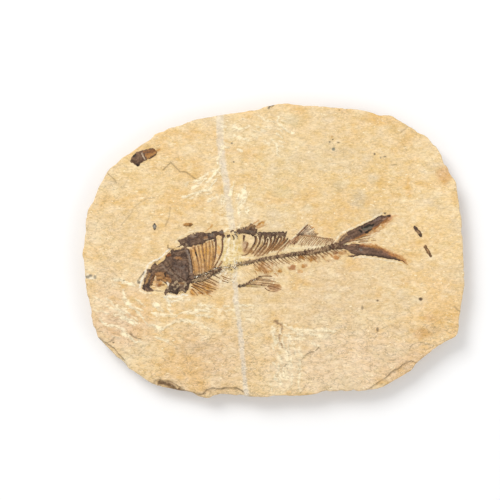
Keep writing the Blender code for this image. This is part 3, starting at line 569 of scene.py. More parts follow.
# Brown stains in thin lines: path, width, colour, strength.
brown_lines = [
    ([(0.6, -29.4), (1.6, -30.4), (2.8, -30.8), (3.6, -32.2), (2.5, -35.6), (2.3, -37.2),
     (3.8, -40.4)], 0.55, "96694A", 0.85), ([(0.9, -29), (1.6, -29.4)], 0.8, "7B6043", 0.75),
    ([(2.2, -30.6), (3.6, -30.9)], 0.8, "94714D", 0.7),
    ([(-28.1, 8.4), (-25.8, 10.6)], 0.5, "C68F4F", 0.75),
    ([(-48, -55.2), (-44.6, -56.2), (-40.4, -58.4), (-36.4, -59.8)], 1.7, "6B5038", 0.9),
    ([(-46.4, -56), (-42, -58)], 0.4, "A08460", 0.8),
    ([(-49.4, 41.6), (-48.2, 42.6)], 0.9, "B97D3E", 0.8), ([(-2, 60.6), (0.3, 62)], 0.7, "4A423A", 0.9),
    ([(49.4, 14.2), (51, 14.9), (52.8, 15)], 0.5, "D9A66D", 0.7),
]
# The stained bed of the fish, flat in the stone, as ovals: x, y, half axes, turn, colour, strength.
bed_ovals = [
    (-3, -13.6, 5.4, 2, -10, "DDB788", 0.6), (-34, -17.4, 1.1, 1.5, 0, "E2AA62", 0.85),
    (-29.8, -17.6, 1, 0.8, 0, "8A5630", 0.8),
    (-45, -9.5, 12.5, 9.5, 40, "EDCB93", 0.5), (-29.4, -3, 6, 7.6, 0, "EABE80", 0.85),
    (-3, -2, 14, 9, 0, "F0D5A4", 0.55), (-17.6, -1, 4.6, 8, 0, "E3C57C", 0.9),
    (14, 2, 10, 4.4, 6, "F3DFB4", 0.75), (6, -6, 14, 4, 8, "ECD0A0", 0.5),
    (-33.3, -7.6, 1.5, 3.8, 0, "7E5E42", 0.85), (-34.6, -3, 0.6, 4, 0, "6F5848", 0.85),
    (-48.9, -12.7, 2.3, 1.6, 0, "C88F50", 1), (-50.3, -13.6, 0.9, 2.6, 0, "D9A868", 0.9),
    (-47.6, -14.3, 1.9, 0.7, 0, "8E5A30", 0.95), (-47.8, -17, 3, 1, 0, "F6DCAA", 0.9),
    (-33.6, 0.2, 1.5, 2.6, 0, "D79F5C", 0.75), (-31.6, -6, 2.4, 3.2, 0, "D6A163", 0.8),
    (-28.8, -3.4, 3.2, 5.4, 0, "E2AE6A", 0.8), (-26, -4.4, 1.6, 4.4, -10, "CF9854", 0.75),
    (-29.6, -7.6, 3, 1.6, -10, "C0874A", 0.7), (-23, 0, 0.75, 2.2, 0, "E0A65E", 0.8),
    (-31.8, -10.4, 2.6, 1.4, -10, "A98259", 0.8), (-28.5, -11, 2.6, 1.6, 20, "96744F", 0.75),
    (-29.6, -15.4, 5.6, 2.3, -22, "E4B77E", 0.85), (-25.6, -13.6, 3.2, 1.6, -25, "E2B780", 0.7),
    (-12.3, -5.2, 3, 0.9, 6, "C4AC7E", 0.6), (-11.8, 2.5, 1.3, 1.5, 0, "A0765A", 0.8),
    (-11.2, 0.2, 1.7, 1.4, 0, "B98D66", 0.75), (-9.2, -0.4, 1.2, 0.9, 0, "B07F50", 0.75),
    (-6.2, -0.9, 2.2, 1.4, 10, "AC7F54", 0.75), (-3.6, 0.2, 1.4, 1.6, 0, "BE9062", 0.7),
    (0.3, 0.6, 1.4, 1.1, 0, "B0814F", 0.8), (-1.5, 1, 0.9, 0.9, 0, "A9785A", 0.75),
    (1.5, 1.6, 1.3, 0.8, 0, "BA9068", 0.7), (3.4, 3.4, 1.3, 0.9, 30, "C69E72", 0.6),
    (-4.4, 5.7, 1.2, 0.6, 0, "8C6A4C", 0.6), (-13, 8.2, 2.6, 0.5, 4, "B69366", 0.7),
    (-3.4, -7.2, 3.3, 2.1, -20, "C88E50", 0.9), (2.7, -8.3, 1.15, 1.1, 0, "B8803F", 0.95),
    (7.7, -7, 1.5, 1, 10, "AC6E38", 0.95), (13, -6.2, 1.2, 0.85, 10, "B67F40", 0.95),
    (26.3, -0.8, 1.1, 0.8, 0, "8E5834", 0.95), (26.3, -2.8, 1.3, 1, 0, "BE7E42", 0.95),
    (29, -0.8, 1.6, 1, 0, "B27630", 0.95), (11.7, -2.7, 1.3, 0.9, 0, "BC8450", 0.9),
    (16.4, -3.2, 2.4, 1.2, 8, "B07A40", 0.95), (11, -8.7, 1.2, 0.7, -20, "D29A54", 0.95),
    (-5.4, 11.2, 2.4, 0.8, 40, "C8924E", 0.85), (-48.9, -12, 1, 1.6, 0, "B5824C", 0.95),
    (0.4, -15.6, 2.4, 1.5, -12, "C89E78", 0.55), (-13, -14.6, 1.2, 0.55, 0, "55483A", 0.7),
    (0.6, -16.1, 2, 1.1, -15, "C0946E", 0.5), (-7.6, -14.8, 4.6, 0.5, -3, "BFA36A", 0.7),
    (1.8, -14.6, 1.8, 0.6, -15, "C99560", 0.7), (14, 8.6, 2.6, 1.4, 40, "D3BA94", 0.6),
    (27.8, 2.4, 3, 1.7, 10, "806649", 0.9), (32.8, 3.9, 2.2, 0.55, 8, "BC9064", 0.85),
    (40.4, 7.2, 3.2, 0.8, 32, "BC8656", 0.85), (44.2, 9.4, 2.8, 1.2, 42, "BE8C5A", 0.85),
    (47, 11.9, 2.2, 1, 35, "CC945E", 0.85), (48.6, 14, 1.6, 1.4, 20, "B98060", 0.8),
    (42, 2.7, 2, 0.6, -8, "CF9A62", 0.85), (48.2, -0.1, 2.4, 0.7, -26, "BF8852", 0.85),
    (51.4, -1.6, 2.4, 0.7, -26, "C68E54", 0.85), (54.4, -3.2, 2.2, 0.7, -36, "CC9860", 0.85),
    (38.6, 3, 2.2, 0.4, -4, "B07C50", 0.75),
]
# Close fine lines where small bones lay side by side: outline, slant, spacing, dark, light, strength.
bed_hatches = [
    ([(8.6, 2), (11.6, 6.4), (19, 5.8), (26, 4.8), (24, 2.6),
     (16, 1.2)], 50, 0.72, "B58E62", "F7E8C4", 0.75),
    ([(-7, -5.2), (0, -3.6), (8, -2.8), (9.6, -5), (3, -6.8), (-1, -9.8),
     (-6.6, -9.6)], -52, 0.74, "A87A4C", "E6C592", 0.55),
    ([(8, -2.6), (20, -0.8), (27, 0.4), (25, -2.4), (16, -4.4),
     (10, -5.6)], -44, 0.74, "9C7046", "EBCF9E", 0.6),
    ([(-35, -13.6), (-27, -12.2), (-22.4, -13.6), (-22.8, -16.8), (-28, -17.6),
     (-33, -19)], -24, 0.9, "96663C", "E9BE82", 0.7),
    ([(-13.8, -8.6), (-7, -7), (-4.6, -9.8), (-9.4, -12), (-13.4, -12.8)], -44, 0.75, "B08A58", "EED4A4",
     0.45),
    ([(-9.6, -12.6), (-4, -10.8), (0.6, -10.9), (2.6, -13), (-4, -13.4)], -6, 0.7, "B49470", "EBD6B2", 0.6),
    ([(-2.6, -14), (2.6, -13.8), (4.4, -16.4), (0.6, -17.2),
     (-3.2, -16.2)], -14, 0.72, "96603F", "D9A878", 0.65),
    ([(33.6, 4.2), (40, 7.4), (44.6, 9), (43, 4.4), (36, 3.4)], 12, 0.8, "C08E5C", "F2DCB2", 0.6),
    ([(41, 8), (48, 12.6), (50, 15.6), (51, 12.6), (46, 8.6)], 40, 0.8, "BC8650", "E9C28E", 0.55),
    ([(42, 2.6), (46, 2.4), (52, -0.6), (57.4, -5.4), (55.6, -4),
     (50, -0.8)], -27, 0.8, "BE8850", "E8C08A", 0.6),
    ([(-23.8, -9), (-16, -10), (-15, -14.6), (-22, -14)], -22, 1.1, "C69C66", "F3DFB6", 0.5),
]
# Fine lines of the bed: path, width, colour, strength.
bed_lines = [
    ([(-56.2, -15.2), (-55.6, -12.6), (-52.6, -5.6), (-50.6, -4.2), (-48.4, -3.4), (-46.8, -2.4),
     (-45.4, -0.6), (-43.6, 0.9)], 0.9, "FBF1DC", 1),
    ([(-55.9, -16.6), (-53.6, -17.8), (-51.4, -17.7)], 0.6, "F7E7C4", 0.85),
    ([(-45.6, -19.4), (-43.6, -18.8), (-41.8, -19.3), (-40, -19.2), (-38, -18.2),
     (-36.2, -18.6)], 1.3, "FCF1DA", 0.95), ([(-57, -12.5), (-54.6, -8.9)], 0.35, "5A4C3E", 0.9),
    ([(-55, -10), (-54.2, -8.9)], 0.4, "4E4034", 0.9),
    ([(-50, -4.9), (-48.6, -4.3), (-47.8, -3.4)], 0.35, "5C4C3C", 0.9),
    ([(-34.6, -12.2), (-28, -10.6), (-25.4, -8.9), (-22.8, -7.7)], 2.4, "80684F", 0.85),
    ([(-44.3, 2.3), (-44.4, 1.5), (-43.6, 0.9), (-41.4, 1)], 0.45, "6E543C", 0.9),
    ([(-44.6, -20.8), (-42.8, -21.2), (-40.4, -20.6), (-38.4, -19.6)], 1, "FAEED4", 0.85),
    ([(-50.2, -16.6), (-46.4, -16.8)], 0.3, "AB9072", 0.85),
    ([(-41, 3.8), (-39.8, 5.6), (-37.4, 6.6), (-35.4, 8), (-32.6, 8.7), (-30, 8.8)], 0.5, "F6E6C0", 0.75),
    ([(-34.4, -9.4), (-31.6, -9), (-28.4, -9), (-25.4, -7.4)], 0.6, "A27C52", 0.7),
    ([(-19, 5), (-19, -3)], 0.5, "FAF1D6", 0.8),
    ([(-20.6, 8.2), (-19.6, 9.4), (-17.4, 9.8)], 0.7, "FAF0D2", 0.85),
    ([(-16, 8), (-16, 6.4), (-14.5, 4.5)], 0.45, "6B5540", 0.85),
    ([(-13.4, -2.6), (-8.4, -2.9)], 0.6, "F4E6C4", 0.8), ([(-2, -0.8), (7, 0.8)], 0.6, "F3E1BA", 0.8),
    ([(6.4, 3.4), (14.2, 11.7)], 0.5, "F8EBCA", 0.9),
    ([(8, 1.2), (16, 1.4), (19.6, 1.8)], 0.6, "F6E7C2", 0.8),
    ([(-6, -5.4), (-3.2, -8.8)], 0.35, "A8713F", 0.7), ([(-6, -12.2), (0.6, -12.3)], 0.35, "F2E2BA", 0.7),
    ([(-7.4, 10.2), (-4.6, 12.6)], 0.45, "A8703A", 0.9), ([(-6.8, 9.6), (-3, 11)], 0.45, "B67A3C", 0.9),
    ([(-8.4, 11.4), (-6, 12.9)], 0.4, "B67A3C", 0.9), ([(-12, -14.4), (-5.5, -15.2)], 0.3, "B59B62", 0.8),
    ([(26.6, 5), (27.6, 6.6), (29, 7.8), (40.4, 13), (45.6, 15.9)], 0.5, "F8EBCC", 0.9),
    ([(30, 2.5), (33, 3.6)], 0.4, "F2E0B8", 0.9), ([(33.8, 3.9), (39.6, 5.1)], 0.3, "F4E4C0", 0.85),
    ([(35, 3.7), (41, 3.6)], 0.35, "F4E4C0", 0.8), ([(36.4, 5.3), (41.6, 6.6)], 0.3, "F2DDB2", 0.8),
    ([(33.6, -2.9), (37, -2.4), (41, -2.9), (52.6, -4.8), (55, -5.8)], 0.45, "F6E8C8", 0.8),
    ([(29.4, 1.2), (31.6, -2)], 0.35, "8E6A48", 0.7),
]
# Short streaks of the bed by the field: seed, how many, low and high corners, slant, length, width, colours.
for field in (
    (90, 110, (-21.2, -5), (-13.6, 6), 86, 2.6, 0.34, ["E0C07C", "FBF3DE", "EBCF8E", "D8B06C", "EFD9A4"]),
    (91, 60, (-22.6, -13), (-13.6, -6), 50, 1.1, 0.34, ["FBF3DE", "B89468", "E9CE98", "FAF0D6"]),
    (92, 50, (-8, -10), (2, -4.5), -50, 1.8, 0.3, ["B07840", "C08A50", "E8C896", "9A6A3C"]),
    (93, 60, (10, -4.6), (28, 0), -44, 1.8, 0.3, ["B07840", "BC8450", "EBCF9E", "8E6038"]),
    (94, 40, (-35, -19), (-26, -14), -28, 2.2, 0.35, ["B47A38", "8C5A30", "E2A85C", "C88E48"]),
):
    bed_lines += strewn_streaks(*field)


def face_colours(points):
    """The colours of the split face, from its broad tints to its hairline cracks."""
    moved = wandered(points, 3, 9, 41)
    colours = with_spots(plain(points, "EDCF9E"), moved, tint_patches, 1.2)
    warm = mottle(points, 7, 43, 4, stretch=1.6)
    pale = mottle(points, 2.6, 47, 3, stretch=1.5)
    colours = laid_over(
        colours, "E9BE7C", 0.5 * above(warm, 0.52, 4), "E3CDA8", 0.5 * below(warm, 0.46, 4.5),
        "F8E3B8", 0.35 * above(pale, 0.6, 6),
    )
    moved = wandered(points, 0.9, 2.2, 51)
    colours = with_spots(colours, moved, cool_patches + stains, 1)
    narrow = wandered(points, 0.3, 1.4, 55)
    vein = 0.85 * stroke(narrow, upper_vein, 2.2, 0.6) + 0.9 * stroke(narrow, lower_vein, 1.4, 0.6)
    clouds = 0.55 + 0.45 * mottle(points, 3, 53, 2)
    colours = laid_over(colours, "E6DBC9", 0.9 * vein * clouds)
    colours = with_lines(colours, wandered(points, 0.35, 0.9, 57), brown_lines)
    patchy = 0.55 + 0.45 * above(mottle(points, 0.9, 56, 2), 0.3, 3.5)
    crinkled = wandered(points, 0.6, 1.8, 58)
    # Each chalk mark gets a brown line painted a little to its lower right: a painted shadow of the mark's
    # raised edge, away from the upper-left key light.
    painted_shadow_places = crinkled + (-0.25, 0.3)
    for path, width, strength in chalk_marks:
        for place, tint, share in ((painted_shadow_places, "B48E5A", 0.5), (crinkled, "FFF0CC", 1.2)):
            colours = with_lines(colours, place, [(path, width, tint, share * strength)], 0.5, cover=patchy)
    colours = bed_colours(points, colours)
    # A ragged dark line is painted along each flake's broken step: painted shade where the face steps down.
    for outline, _ in flakes:
        edge = stroke(wandered(points, 0.3, 1.1, 61), [*outline[1:-1]], 0.12, 0.32)
        colours = laid_over(colours, "8C7659", 0.75 * edge * above(mottle(points, 3, 63), 0.15, 2))
    # A dark line is painted along each crack: painted shade in the groove.
    for path, darkness in cracks:
        colours = laid_over(colours, "7D6B50", darkness * stroke(points, path, 0.22, 0.28))
    return with_spots(colours, points, grains, 0.6)


def chalk_shares(points):
    """How chalky the face is at each point: the pale scraped marks and skins, with soft edges."""
    moved = wandered(points, 0.45, 1.1, 57)
    shares = 0.28 * above(mottle(points, 6, 59, 2), 0.55, 4)
    for path, width, strength in chalk_marks:
        shares = np.maximum(shares, 1.4 * strength * stroke(moved, path, width * 0.8, 0.6))
    for x, y, long, wide, turn, strength in chalk_clouds:
        shares = np.maximum(shares, strength * spot(moved, x, y, long, wide, turn, soft=1.2))
    return shares


def bed_colours(points, colours):
    """The films, halos and stained lines that the fish left in the stone round its bones."""
    near = near_to(points, fish_zone, 2)
    held = points[near]
    bed = colours[near]
    moved = wandered(held, 0.4, 1, 83)
    patchy = 0.6 + 0.4 * above(mottle(held, 0.8, 85, 2), 0.25, 2.4)
    for x, y, long, wide, turn, colour, strength in bed_ovals:
        bed = laid_over(bed, colour, strength * spot(moved, x, y, long, wide, turn, soft=0.55) * patchy)
    moved = wandered(held, 0.16, 0.7, 87)
    for outline, slant, spacing, dark, light, strength in bed_hatches:
        across = turned(moved.T, -slant)[1]
        wave = np.sin((across / spacing + 0.5 * mottle(held, 2.4, 89)) * 2 * math.pi)
        away, _ = distance_to(held, closed(outline))
        share = strength * patchy * eased(away / 0.9) * inside(held, outline)
        bed = laid_over(bed, light, share * eased(wave * 1.2), dark, share * eased(-wave * 1.2))
    colours[near] = with_lines(bed, moved, bed_lines, tip=0.5, cover=patchy)
    return colours


def plain_name(socket):
    """A socket's name as a word of code."""
    return socket.name.lower().replace(" ", "_")


def fed(node, *ordered, **named):
    """Fills a node's inputs, in order or by name, with outputs or values, and gives its first output."""
    sockets = {plain_name(socket): socket for socket in reversed(node.inputs) if socket.enabled}
    for socket, source in [*zip(node.inputs, ordered), *((sockets[name], named[name]) for name in named)]:
        if isinstance(source, bpy.types.NodeSocket):
            node.id_data.links.new(source, socket)
        else:
            socket.default_value = source
    return next((socket for socket in node.outputs if socket.enabled), None)


def node_maker(tree):
    """Two makers for a tree: of a node, by its kind, inputs and settings, and of a step of reckoning."""
    signs = {"+": "ADD", "-": "SUBTRACT", "*": "MULTIPLY"}

    def added(kind, *ordered, **named):
        node = tree.nodes.new(kind)
        for setting in named.keys() - set(map(plain_name, node.inputs)):
            setattr(node, setting, named.pop(setting))
        return fed(node, *ordered, **named)

    def reckoned(sign, *sources):
        return added("ShaderNodeMath", *sources, operation=signs.get(sign, sign))

    return added, reckoned


def new_finish(name):
    """A new material, its shader, the makers of its nodes, and the place on the piece that it is laid by."""
    finish = bpy.data.materials.new(name)
    finish.use_nodes = True
    added, reckoned = node_maker(finish.node_tree)
    place = added("ShaderNodeTexCoord").node.outputs["Object"]
    return finish, finish.node_tree.nodes["Principled BSDF"], added, reckoned, place


def limestone_finish():
    """Fine matt limestone: its broad colours are on the mesh, and grain, crinkles with painted shade in their
    creases, and flecks come here.
    """
    finish, shader, added, reckoned, place = new_finish("fine_yellow_limestone")
    place = added("ShaderNodeMapping", vector=place, rotation=(0, 0, math.radians(8)), scale=(0.55, 1, 1))
    colour = added("ShaderNodeAttribute", attribute_name="stone_colour")
    chalk = added("ShaderNodeAttribute", attribute_name="stone_chalk").node.outputs["Fac"]
    crease_shade_share = added("ShaderNodeAttribute", attribute_name="stone_wear").node.outputs["Fac"]

    def noise(scale, detail, roughness, distortion=0):
        settings = {"scale": scale, "detail": detail, "roughness": roughness, "distortion": distortion}
        return added("ShaderNodeTexNoise", vector=place, **settings)

    def ranged(*sources):
        return added("ShaderNodeMapRange", *sources)

    grain = noise(1500, 3, 0.65)
    cloud = noise(420, 3, 0.6)
    wrinkle = reckoned("ABSOLUTE", reckoned("-", noise(480, 4, 0.6, 0.5), 0.5))
    crease = ranged(wrinkle, 0, 0.03, 1, 0)
    fleck = ranged(noise(620, 5, 0.65, 0.6), 0.46, 0.56, 0, 1)
    speck = ranged(noise(1150, 2, 0.5), 0.66, 0.74, 0, 0.8)
    value = reckoned("*", ranged(grain, 0.3, 0.7, 0.75, 1.04), ranged(cloud, 0.3, 0.7, 0.93, 1.06))
    # The colour is darkened in the creases of the crinkles: painted shade, stronger where the plate's crease
    # shade share is high.
    painted_crease_shade = reckoned("*", crease, reckoned("+", crease_shade_share, 1))
    value = reckoned("*", value, ranged(painted_crease_shade, 0, 2, 1.03, 0.61))
    rough_skin = reckoned("*", chalk, reckoned("-", 1, fleck))
    value = reckoned("*", value, ranged(rough_skin, 0, 1, 1, 0.87))
    saturation = ranged(cloud, 0.3, 0.7, 1.12, 0.9)
    toned = added("ShaderNodeHueSaturation", value=value, saturation=saturation, color=colour)
    spread = reckoned("*", chalk, ranged(fleck, 0, 1, 0.15, 1))
    pale = reckoned("MAXIMUM", spread, speck)
    chalky = added("ShaderNodeMix", data_type="RGBA", factor=pale, a=toned, b=(*linear("FEECC6"), 1))
    creased = reckoned("*", ranged(wrinkle, 0, 0.12, 0, 1), 0.5)
    relief = reckoned("+", reckoned("*", grain, 0.5), creased)
    relief = reckoned("+", relief, reckoned("*", spread, 1.2))
    bump = added("ShaderNodeBump", strength=0.7, distance=0.0002, height=relief)
    rough = ranged(grain, 0.2, 0.8, 0.78, 0.95)
    fed(shader, base_color=chalky, roughness=rough, specular_ior_level=0.2, normal=bump)
    return finish


def limestone_plate():
    """The whole plate: its hewn rim, split face, wall and back, with what its finish reads at each point."""
    rim = rounded(hewn_outline, rim_step)
    out = outward_ways(rim)
    scallops = 1.5 * np.clip(mottle(rim, 4.2, 11) - 0.5, 0, 1)
    nicks = 0.8 * np.clip(mottle(rim, 1.6, 12) - 0.6, 0, 1)
    rim = rim - out * (scallops + nicks)[:, None]
    inner = unique_points(plate_points(rim), 0.13)
    lip = rim - out * 0.1
    face = np.concatenate([lip, inner])
    heights = face_heights(face)
    heights[:len(rim)] -= 0.12
    rings = wall_rings(rim, heights[:len(rim)])
    floor_lattice = lattice_points((-80, -62), (80, 62), floor_step)
    floor_lattice += np.random.default_rng(8).uniform(-0.7, 0.7, floor_lattice.shape)
    floor_lattice = floor_lattice[inside(floor_lattice, rim - out * 3.4)]
    floor_inner = np.column_stack([floor_lattice, 0.25 * mottle(floor_lattice, 11, 13, 2)])
    mesh = closed_mesh("limestone_plate", lip, inner, heights, rings, floor_inner)
    places = np.array([vertex.co for vertex in mesh.vertices]) / MM
    colours = face_colours(places[:, :2])
    beds = mottle(np.column_stack([places[:, 0] + places[:, 1], places[:, 2] * 30]), 9, 71, 3, stretch=6)
    wall = np.arange(len(places)) >= len(face)
    layers = "A98358", above(beds, 0.4, 3), "EBD5AC", 0.6 * below(beds, 0.42, 5)
    colours[wall] = laid_over(plain(places, "D9B788"), *layers)[wall]
    painted(mesh, colours, "stone_colour")
    graded(mesh, "stone_chalk", np.where(wall, 0, chalk_shares(places[:, :2])))
    # How strongly shade is painted in the crinkles: more towards the bottom and the left of the face, in
    # patches.
    crease_shade_share = np.maximum(eased((-22 - places[:, 1]) / 12), 0.6 * eased((-58 - places[:, 0]) / 10))
    graded(mesh, "stone_wear", crease_shade_share * eased(2 * mottle(places[:, :2], 5, 73, 2)))
    set_in_place("limestone_plate", mesh, limestone_finish(), ["limestone_slab"])


limestone_plate()

# -------- skull
# The crushed skull: a thin brown sheet of broken bone, snout to the left, with the eye socket open onto the
# stained rock. Ridges of the jaw and brow, and loose grains under the jaw, stand up a little from it.

bone_seat = face_height + 0.02
bone_root = 0.45
skull_outline = [
    (-55.4, -15.5), (-55.2, -14.3), (-54.4, -11.6), (-53.7, -10.4), (-53.1, -8.9), (-53.2, -7.8),
    (-52.5, -7.4), (-51.7, -7.8), (-51.9, -6.2), (-50.7, -5.7), (-49.8, -5), (-48.9, -5.5), (-47.6, -5.1),
    (-46, -3.8), (-45.5, -2.9), (-45.5, -2), (-44.7, -1.3), (-43.8, -1), (-43.3, -0.5), (-43.1, 0.4),
    (-42.5, 0.7), (-40.5, 0.5), (-38.4, 1.5), (-37.1, 1.9), (-36.2, 1.5), (-35.4, 0.6), (-34.2, -3.4),
    (-33.3, -8), (-33.4, -9.9), (-33, -11.4), (-33.6, -12.9), (-34.8, -13.6), (-35.9, -16.2),
    (-37.1, -18.2), (-37.8, -17.5), (-38.7, -16.9), (-39.8, -17.5), (-40.5, -18.7), (-41.3, -18.7),
    (-41.5, -18), (-43.8, -17.6), (-44.7, -18.2), (-45.1, -18.7), (-45.7, -18), (-45.7, -16.9),
    (-45.1, -15.8), (-44.9, -14.5), (-45.3, -13.7), (-46.3, -12.9), (-47.6, -12.5), (-48.8, -12.6),
    (-49.2, -11.6), (-49, -10.4), (-49.6, -10.2), (-50.1, -11.2), (-50.8, -14.2), (-51.5, -15),
    (-51.2, -15.8), (-50.4, -16.5), (-50.7, -17), (-52, -16.9), (-52.9, -17.2), (-54.4, -16.5),
]
# Ridges: path, width, height. Marks, here and below: path, width, colour, strength.
skull_ridges = [
    ([(-54.2, -12.8), (-52.4, -9.4), (-50.4, -7), (-48, -6.3), (-46.2, -5.3)], 0.7, 0.3),
    ([(-46.4, -5), (-44.6, -2.4), (-41.8, -1.1), (-38.2, -0.2), (-36.6, -0.2)], 0.7, 0.3),
    ([(-46, -9.2), (-44, -7.4), (-41.8, -4.9), (-39.2, -2.6)], 0.7, 0.3),
    ([(-54.2, -15.4), (-50.6, -10.6)], 0.7, 0.3), ([(-43.6, -13), (-37.2, -15.9)], 0.7, 0.3),
    ([(-43.9, -10.4), (-42.2, -12), (-40.4, -12.6)], 0.6, 0.25), ([(-44.9, -4.3), (-43, -7.8)], 0.4, 0.2),
    ([(-44.3, -8), (-41, -11.2)], 0.35, 0.2), ([(-36.2, 0.2), (-35.3, -8), (-35.4, -12)], 0.4, 0.2),
    ([(-35.6, 0.4), (-34.7, -3.4), (-34.3, -8)], 0.35, 0.2),
]
skull_marks = [
    ([(-52, -6.3), (-50, -5.2), (-48.8, -5.6), (-46, -4), (-45.4, -2.2), (-43.6, -1),
     (-43, 0.2)], 0.5, "4C382C", 0.8), ([(-43, 0.2), (-41.2, -0.1), (-39.6, 0.1)], 0.5, "45352B", 0.8),
    ([(-55, -15.2), (-54, -14.2), (-53.4, -13.2)], 1.3, "4A3B32", 0.8),
    ([(-52.2, -12.2), (-52.6, -14.6), (-52, -16.2)], 0.7, "4D3D33", 0.7),
    ([(-53.6, -13.6), (-52, -9.6)], 0.7, "B58A55", 0.85),
    ([(-51.6, -14.6), (-51.2, -12.2), (-50.2, -10.2)], 0.5, "8E6138", 0.7),
    ([(-50.4, -9.2), (-48, -8.6), (-45.6, -8.8), (-44.6, -10.2)], 0.5, "6A4A33", 0.6),
    ([(-49, -10), (-47.6, -9.6), (-46, -9.8), (-44.4, -11.2), (-43.6, -12.4)], 1.6, "A8794A", 0.85),
    ([(-48.6, -11.6), (-47, -11.4), (-45.4, -12.2)], 1.6, "C29058", 0.9),
    ([(-48.6, -11.9), (-47.4, -12.1), (-46, -11.6), (-44.6, -12.4)], 0.35, "7E5532", 0.8),
    ([(-46.2, -11.2), (-44.8, -10.6), (-43.6, -11.2)], 0.35, "6B4428", 0.75),
    ([(-44.6, -1.7), (-43.4, -1.7)], 1, "8E5830", 0.85),
    ([(-41, -3), (-39.9, -2.8), (-38.9, -3.1)], 0.8, "A97A4E", 0.85),
    ([(-44.6, -4), (-42.8, -7.4), (-41.6, -9)], 0.4, "54402F", 0.65),
    ([(-46.8, -5.8), (-44.4, -8.6), (-42.8, -9.8)], 0.35, "8D7A68", 0.6),
    ([(-43.6, -8.6), (-42.2, -9.6), (-39.8, -12.2)], 0.35, "94806C", 0.6),
    ([(-51, -7.6), (-49, -8.2), (-46.6, -8)], 0.4, "53432F", 0.5),
    ([(-45.6, -9.6), (-45.3, -10.4)], 0.8, "2E2723", 0.9),
    ([(-44.4, -13.4), (-44.2, -14.3)], 0.8, "F6E6CB", 0.95),
    ([(-39.6, -13.5), (-37.6, -13.7)], 0.7, "8C6238", 0.8),
    ([(-43.8, -15.4), (-42, -15.6), (-40.8, -15.2)], 0.5, "4C3C32", 0.7),
    ([(-44.9, -16.2), (-41.2, -16.4), (-40.2, -18)], 0.4, "473830", 0.75),
    ([(-36.2, 0.2), (-35.3, -2.4), (-34.5, -9)], 0.4, "9A8A7C", 0.75),
    ([(-35.6, 0.6), (-34.8, -1.8), (-34.2, -5), (-33.9, -8.6)], 0.4, "5C4638", 0.7),
    ([(-37.4, 0.9), (-36, -1.6), (-35.4, -4.6), (-35.2, -7.6)], 0.35, "8B7663", 0.65),
    ([(-41.6, 0.1), (-39.4, 0.2), (-37.4, 0.9)], 0.35, "44352B", 0.8),
]


def relief_mesh(name, outline, step, height_of, colour_of):
    """A thin plate of bone, shaped and coloured by the two functions, with its edge run into the rock."""
    rim = wandered(evenly(closed(outline), step * 1.1)[:-1], 0.24, 0.8, len(outline))
    lattice = lattice_points(rim.min(0), rim.max(0), step)
    lattice += np.random.default_rng(len(outline)).uniform(-0.2, 0.2, lattice.shape) * step
    lattice = lattice[inside(lattice, rim)]
    edge, _ = distance_to(lattice, closed(rim))
    held = edge > step * 0.45
    edge = np.concatenate([np.zeros(len(rim)), edge[held]])
    points = np.concatenate([rim, lattice[held]])
    foot = np.column_stack([rim, np.full(len(rim), face_height - bone_root)])
    mesh = closed_mesh(name, rim, lattice[held], height_of(points, edge), [foot], np.empty((0, 3)))
    colours = colour_of(points, edge)
    return painted(mesh, np.concatenate([colours, colours[:len(rim)]]))


def relief_piece(name, outline, step, height_of, colour_of, finish):
    """A relief set in the plate in place of the CAD node of its name."""
    set_in_place(name, relief_mesh(name, outline, step, height_of, colour_of), finish, [name])


def raised(points, edge, thickness, ridges=(), roughness=0.12, seed=1, torn=0):
    """Heights of a bone plate: full within a little of its edge, with ridges, and a rough broken surface."""
    heights = bone_seat + thickness * eased(edge / 0.9 + 0.06)
    for path, width, height in ridges:
        heights += height * stroke(points, path, width * 0.4, width * 0.5)
    coarse = mottle(points, 1.5, seed, 2) - 0.5
    fine = mottle(points, 0.5, seed + 1, 2) - 0.5
    lost = above(mottle(points, 0.8, seed + 11, 2), 0.55 + 0.2 * eased(edge / 0.8), 7)
    return heights + (coarse * roughness * 2 + fine * roughness) * eased(edge / 0.4) - torn * lost


def bone_tints(points, edge, base, light, dark, seed, contrast=1):
    """Brown bone with lighter and darker patches, and a darker line along its edge."""
    patches = mottle(points, 1.6, seed, 3)
    flecks = mottle(points, 0.55, seed + 3, 2)
    return laid_over(
        plain(points, base), light, contrast * 0.8 * above(patches, 0.5, 4),
        dark, contrast * 0.7 * below(patches, 0.48, 4), light, contrast * 0.5 * above(flecks, 0.62, 7),
        dark, contrast * 0.5 * below(flecks, 0.36, 7),
        dark, 0.15 * eased(1 - edge / 0.3) * above(flecks, 0.3, 3),
    )


def marked(colours, points, marks):
    """Colours with a list of small marks drawn over them, each a path, width, colour and strength."""
    return with_lines(colours, wandered(points, 0.2, 0.6, 81), marks, 0.8)


def bone_finish(name, least_rough, most_rough):
    """Fossil bone: the colours on the mesh, with a fine grain, and a dull uneven gloss."""
    finish, shader, added, _, place = new_finish(name)
    colour = added("ShaderNodeAttribute", attribute_name="bone_colour")
    grain = added("ShaderNodeTexNoise", vector=place, scale=1700, detail=4, roughness=0.65)
    value = added("ShaderNodeMapRange", grain, 0.3, 0.7, 0.46, 1.3)
    toned = added("ShaderNodeHueSaturation", value=value, color=colour)
    gloss = added("ShaderNodeMapRange", grain, 0, 1, least_rough, most_rough)
    bump = added("ShaderNodeBump", strength=0.6, distance=0.00012, height=grain)
    fed(shader, base_color=toned, roughness=gloss, specular_ior_level=0.2, normal=bump)
    return finish


def skull_heights(points, edge):
    """The broken sheet with its ridges, and the loose grains under the jaw."""
    jaw = spot(points, -40.5, -15, 5.5, 3.4, soft=0.5)
    heights = raised(points, edge, 0.4, ridges=skull_ridges, roughness=0.2, seed=91, torn=0.35)
    return heights + jaw * (mottle(points, 0.8, 93, 2) - 0.4) * 0.5 * eased(edge / 0.3)


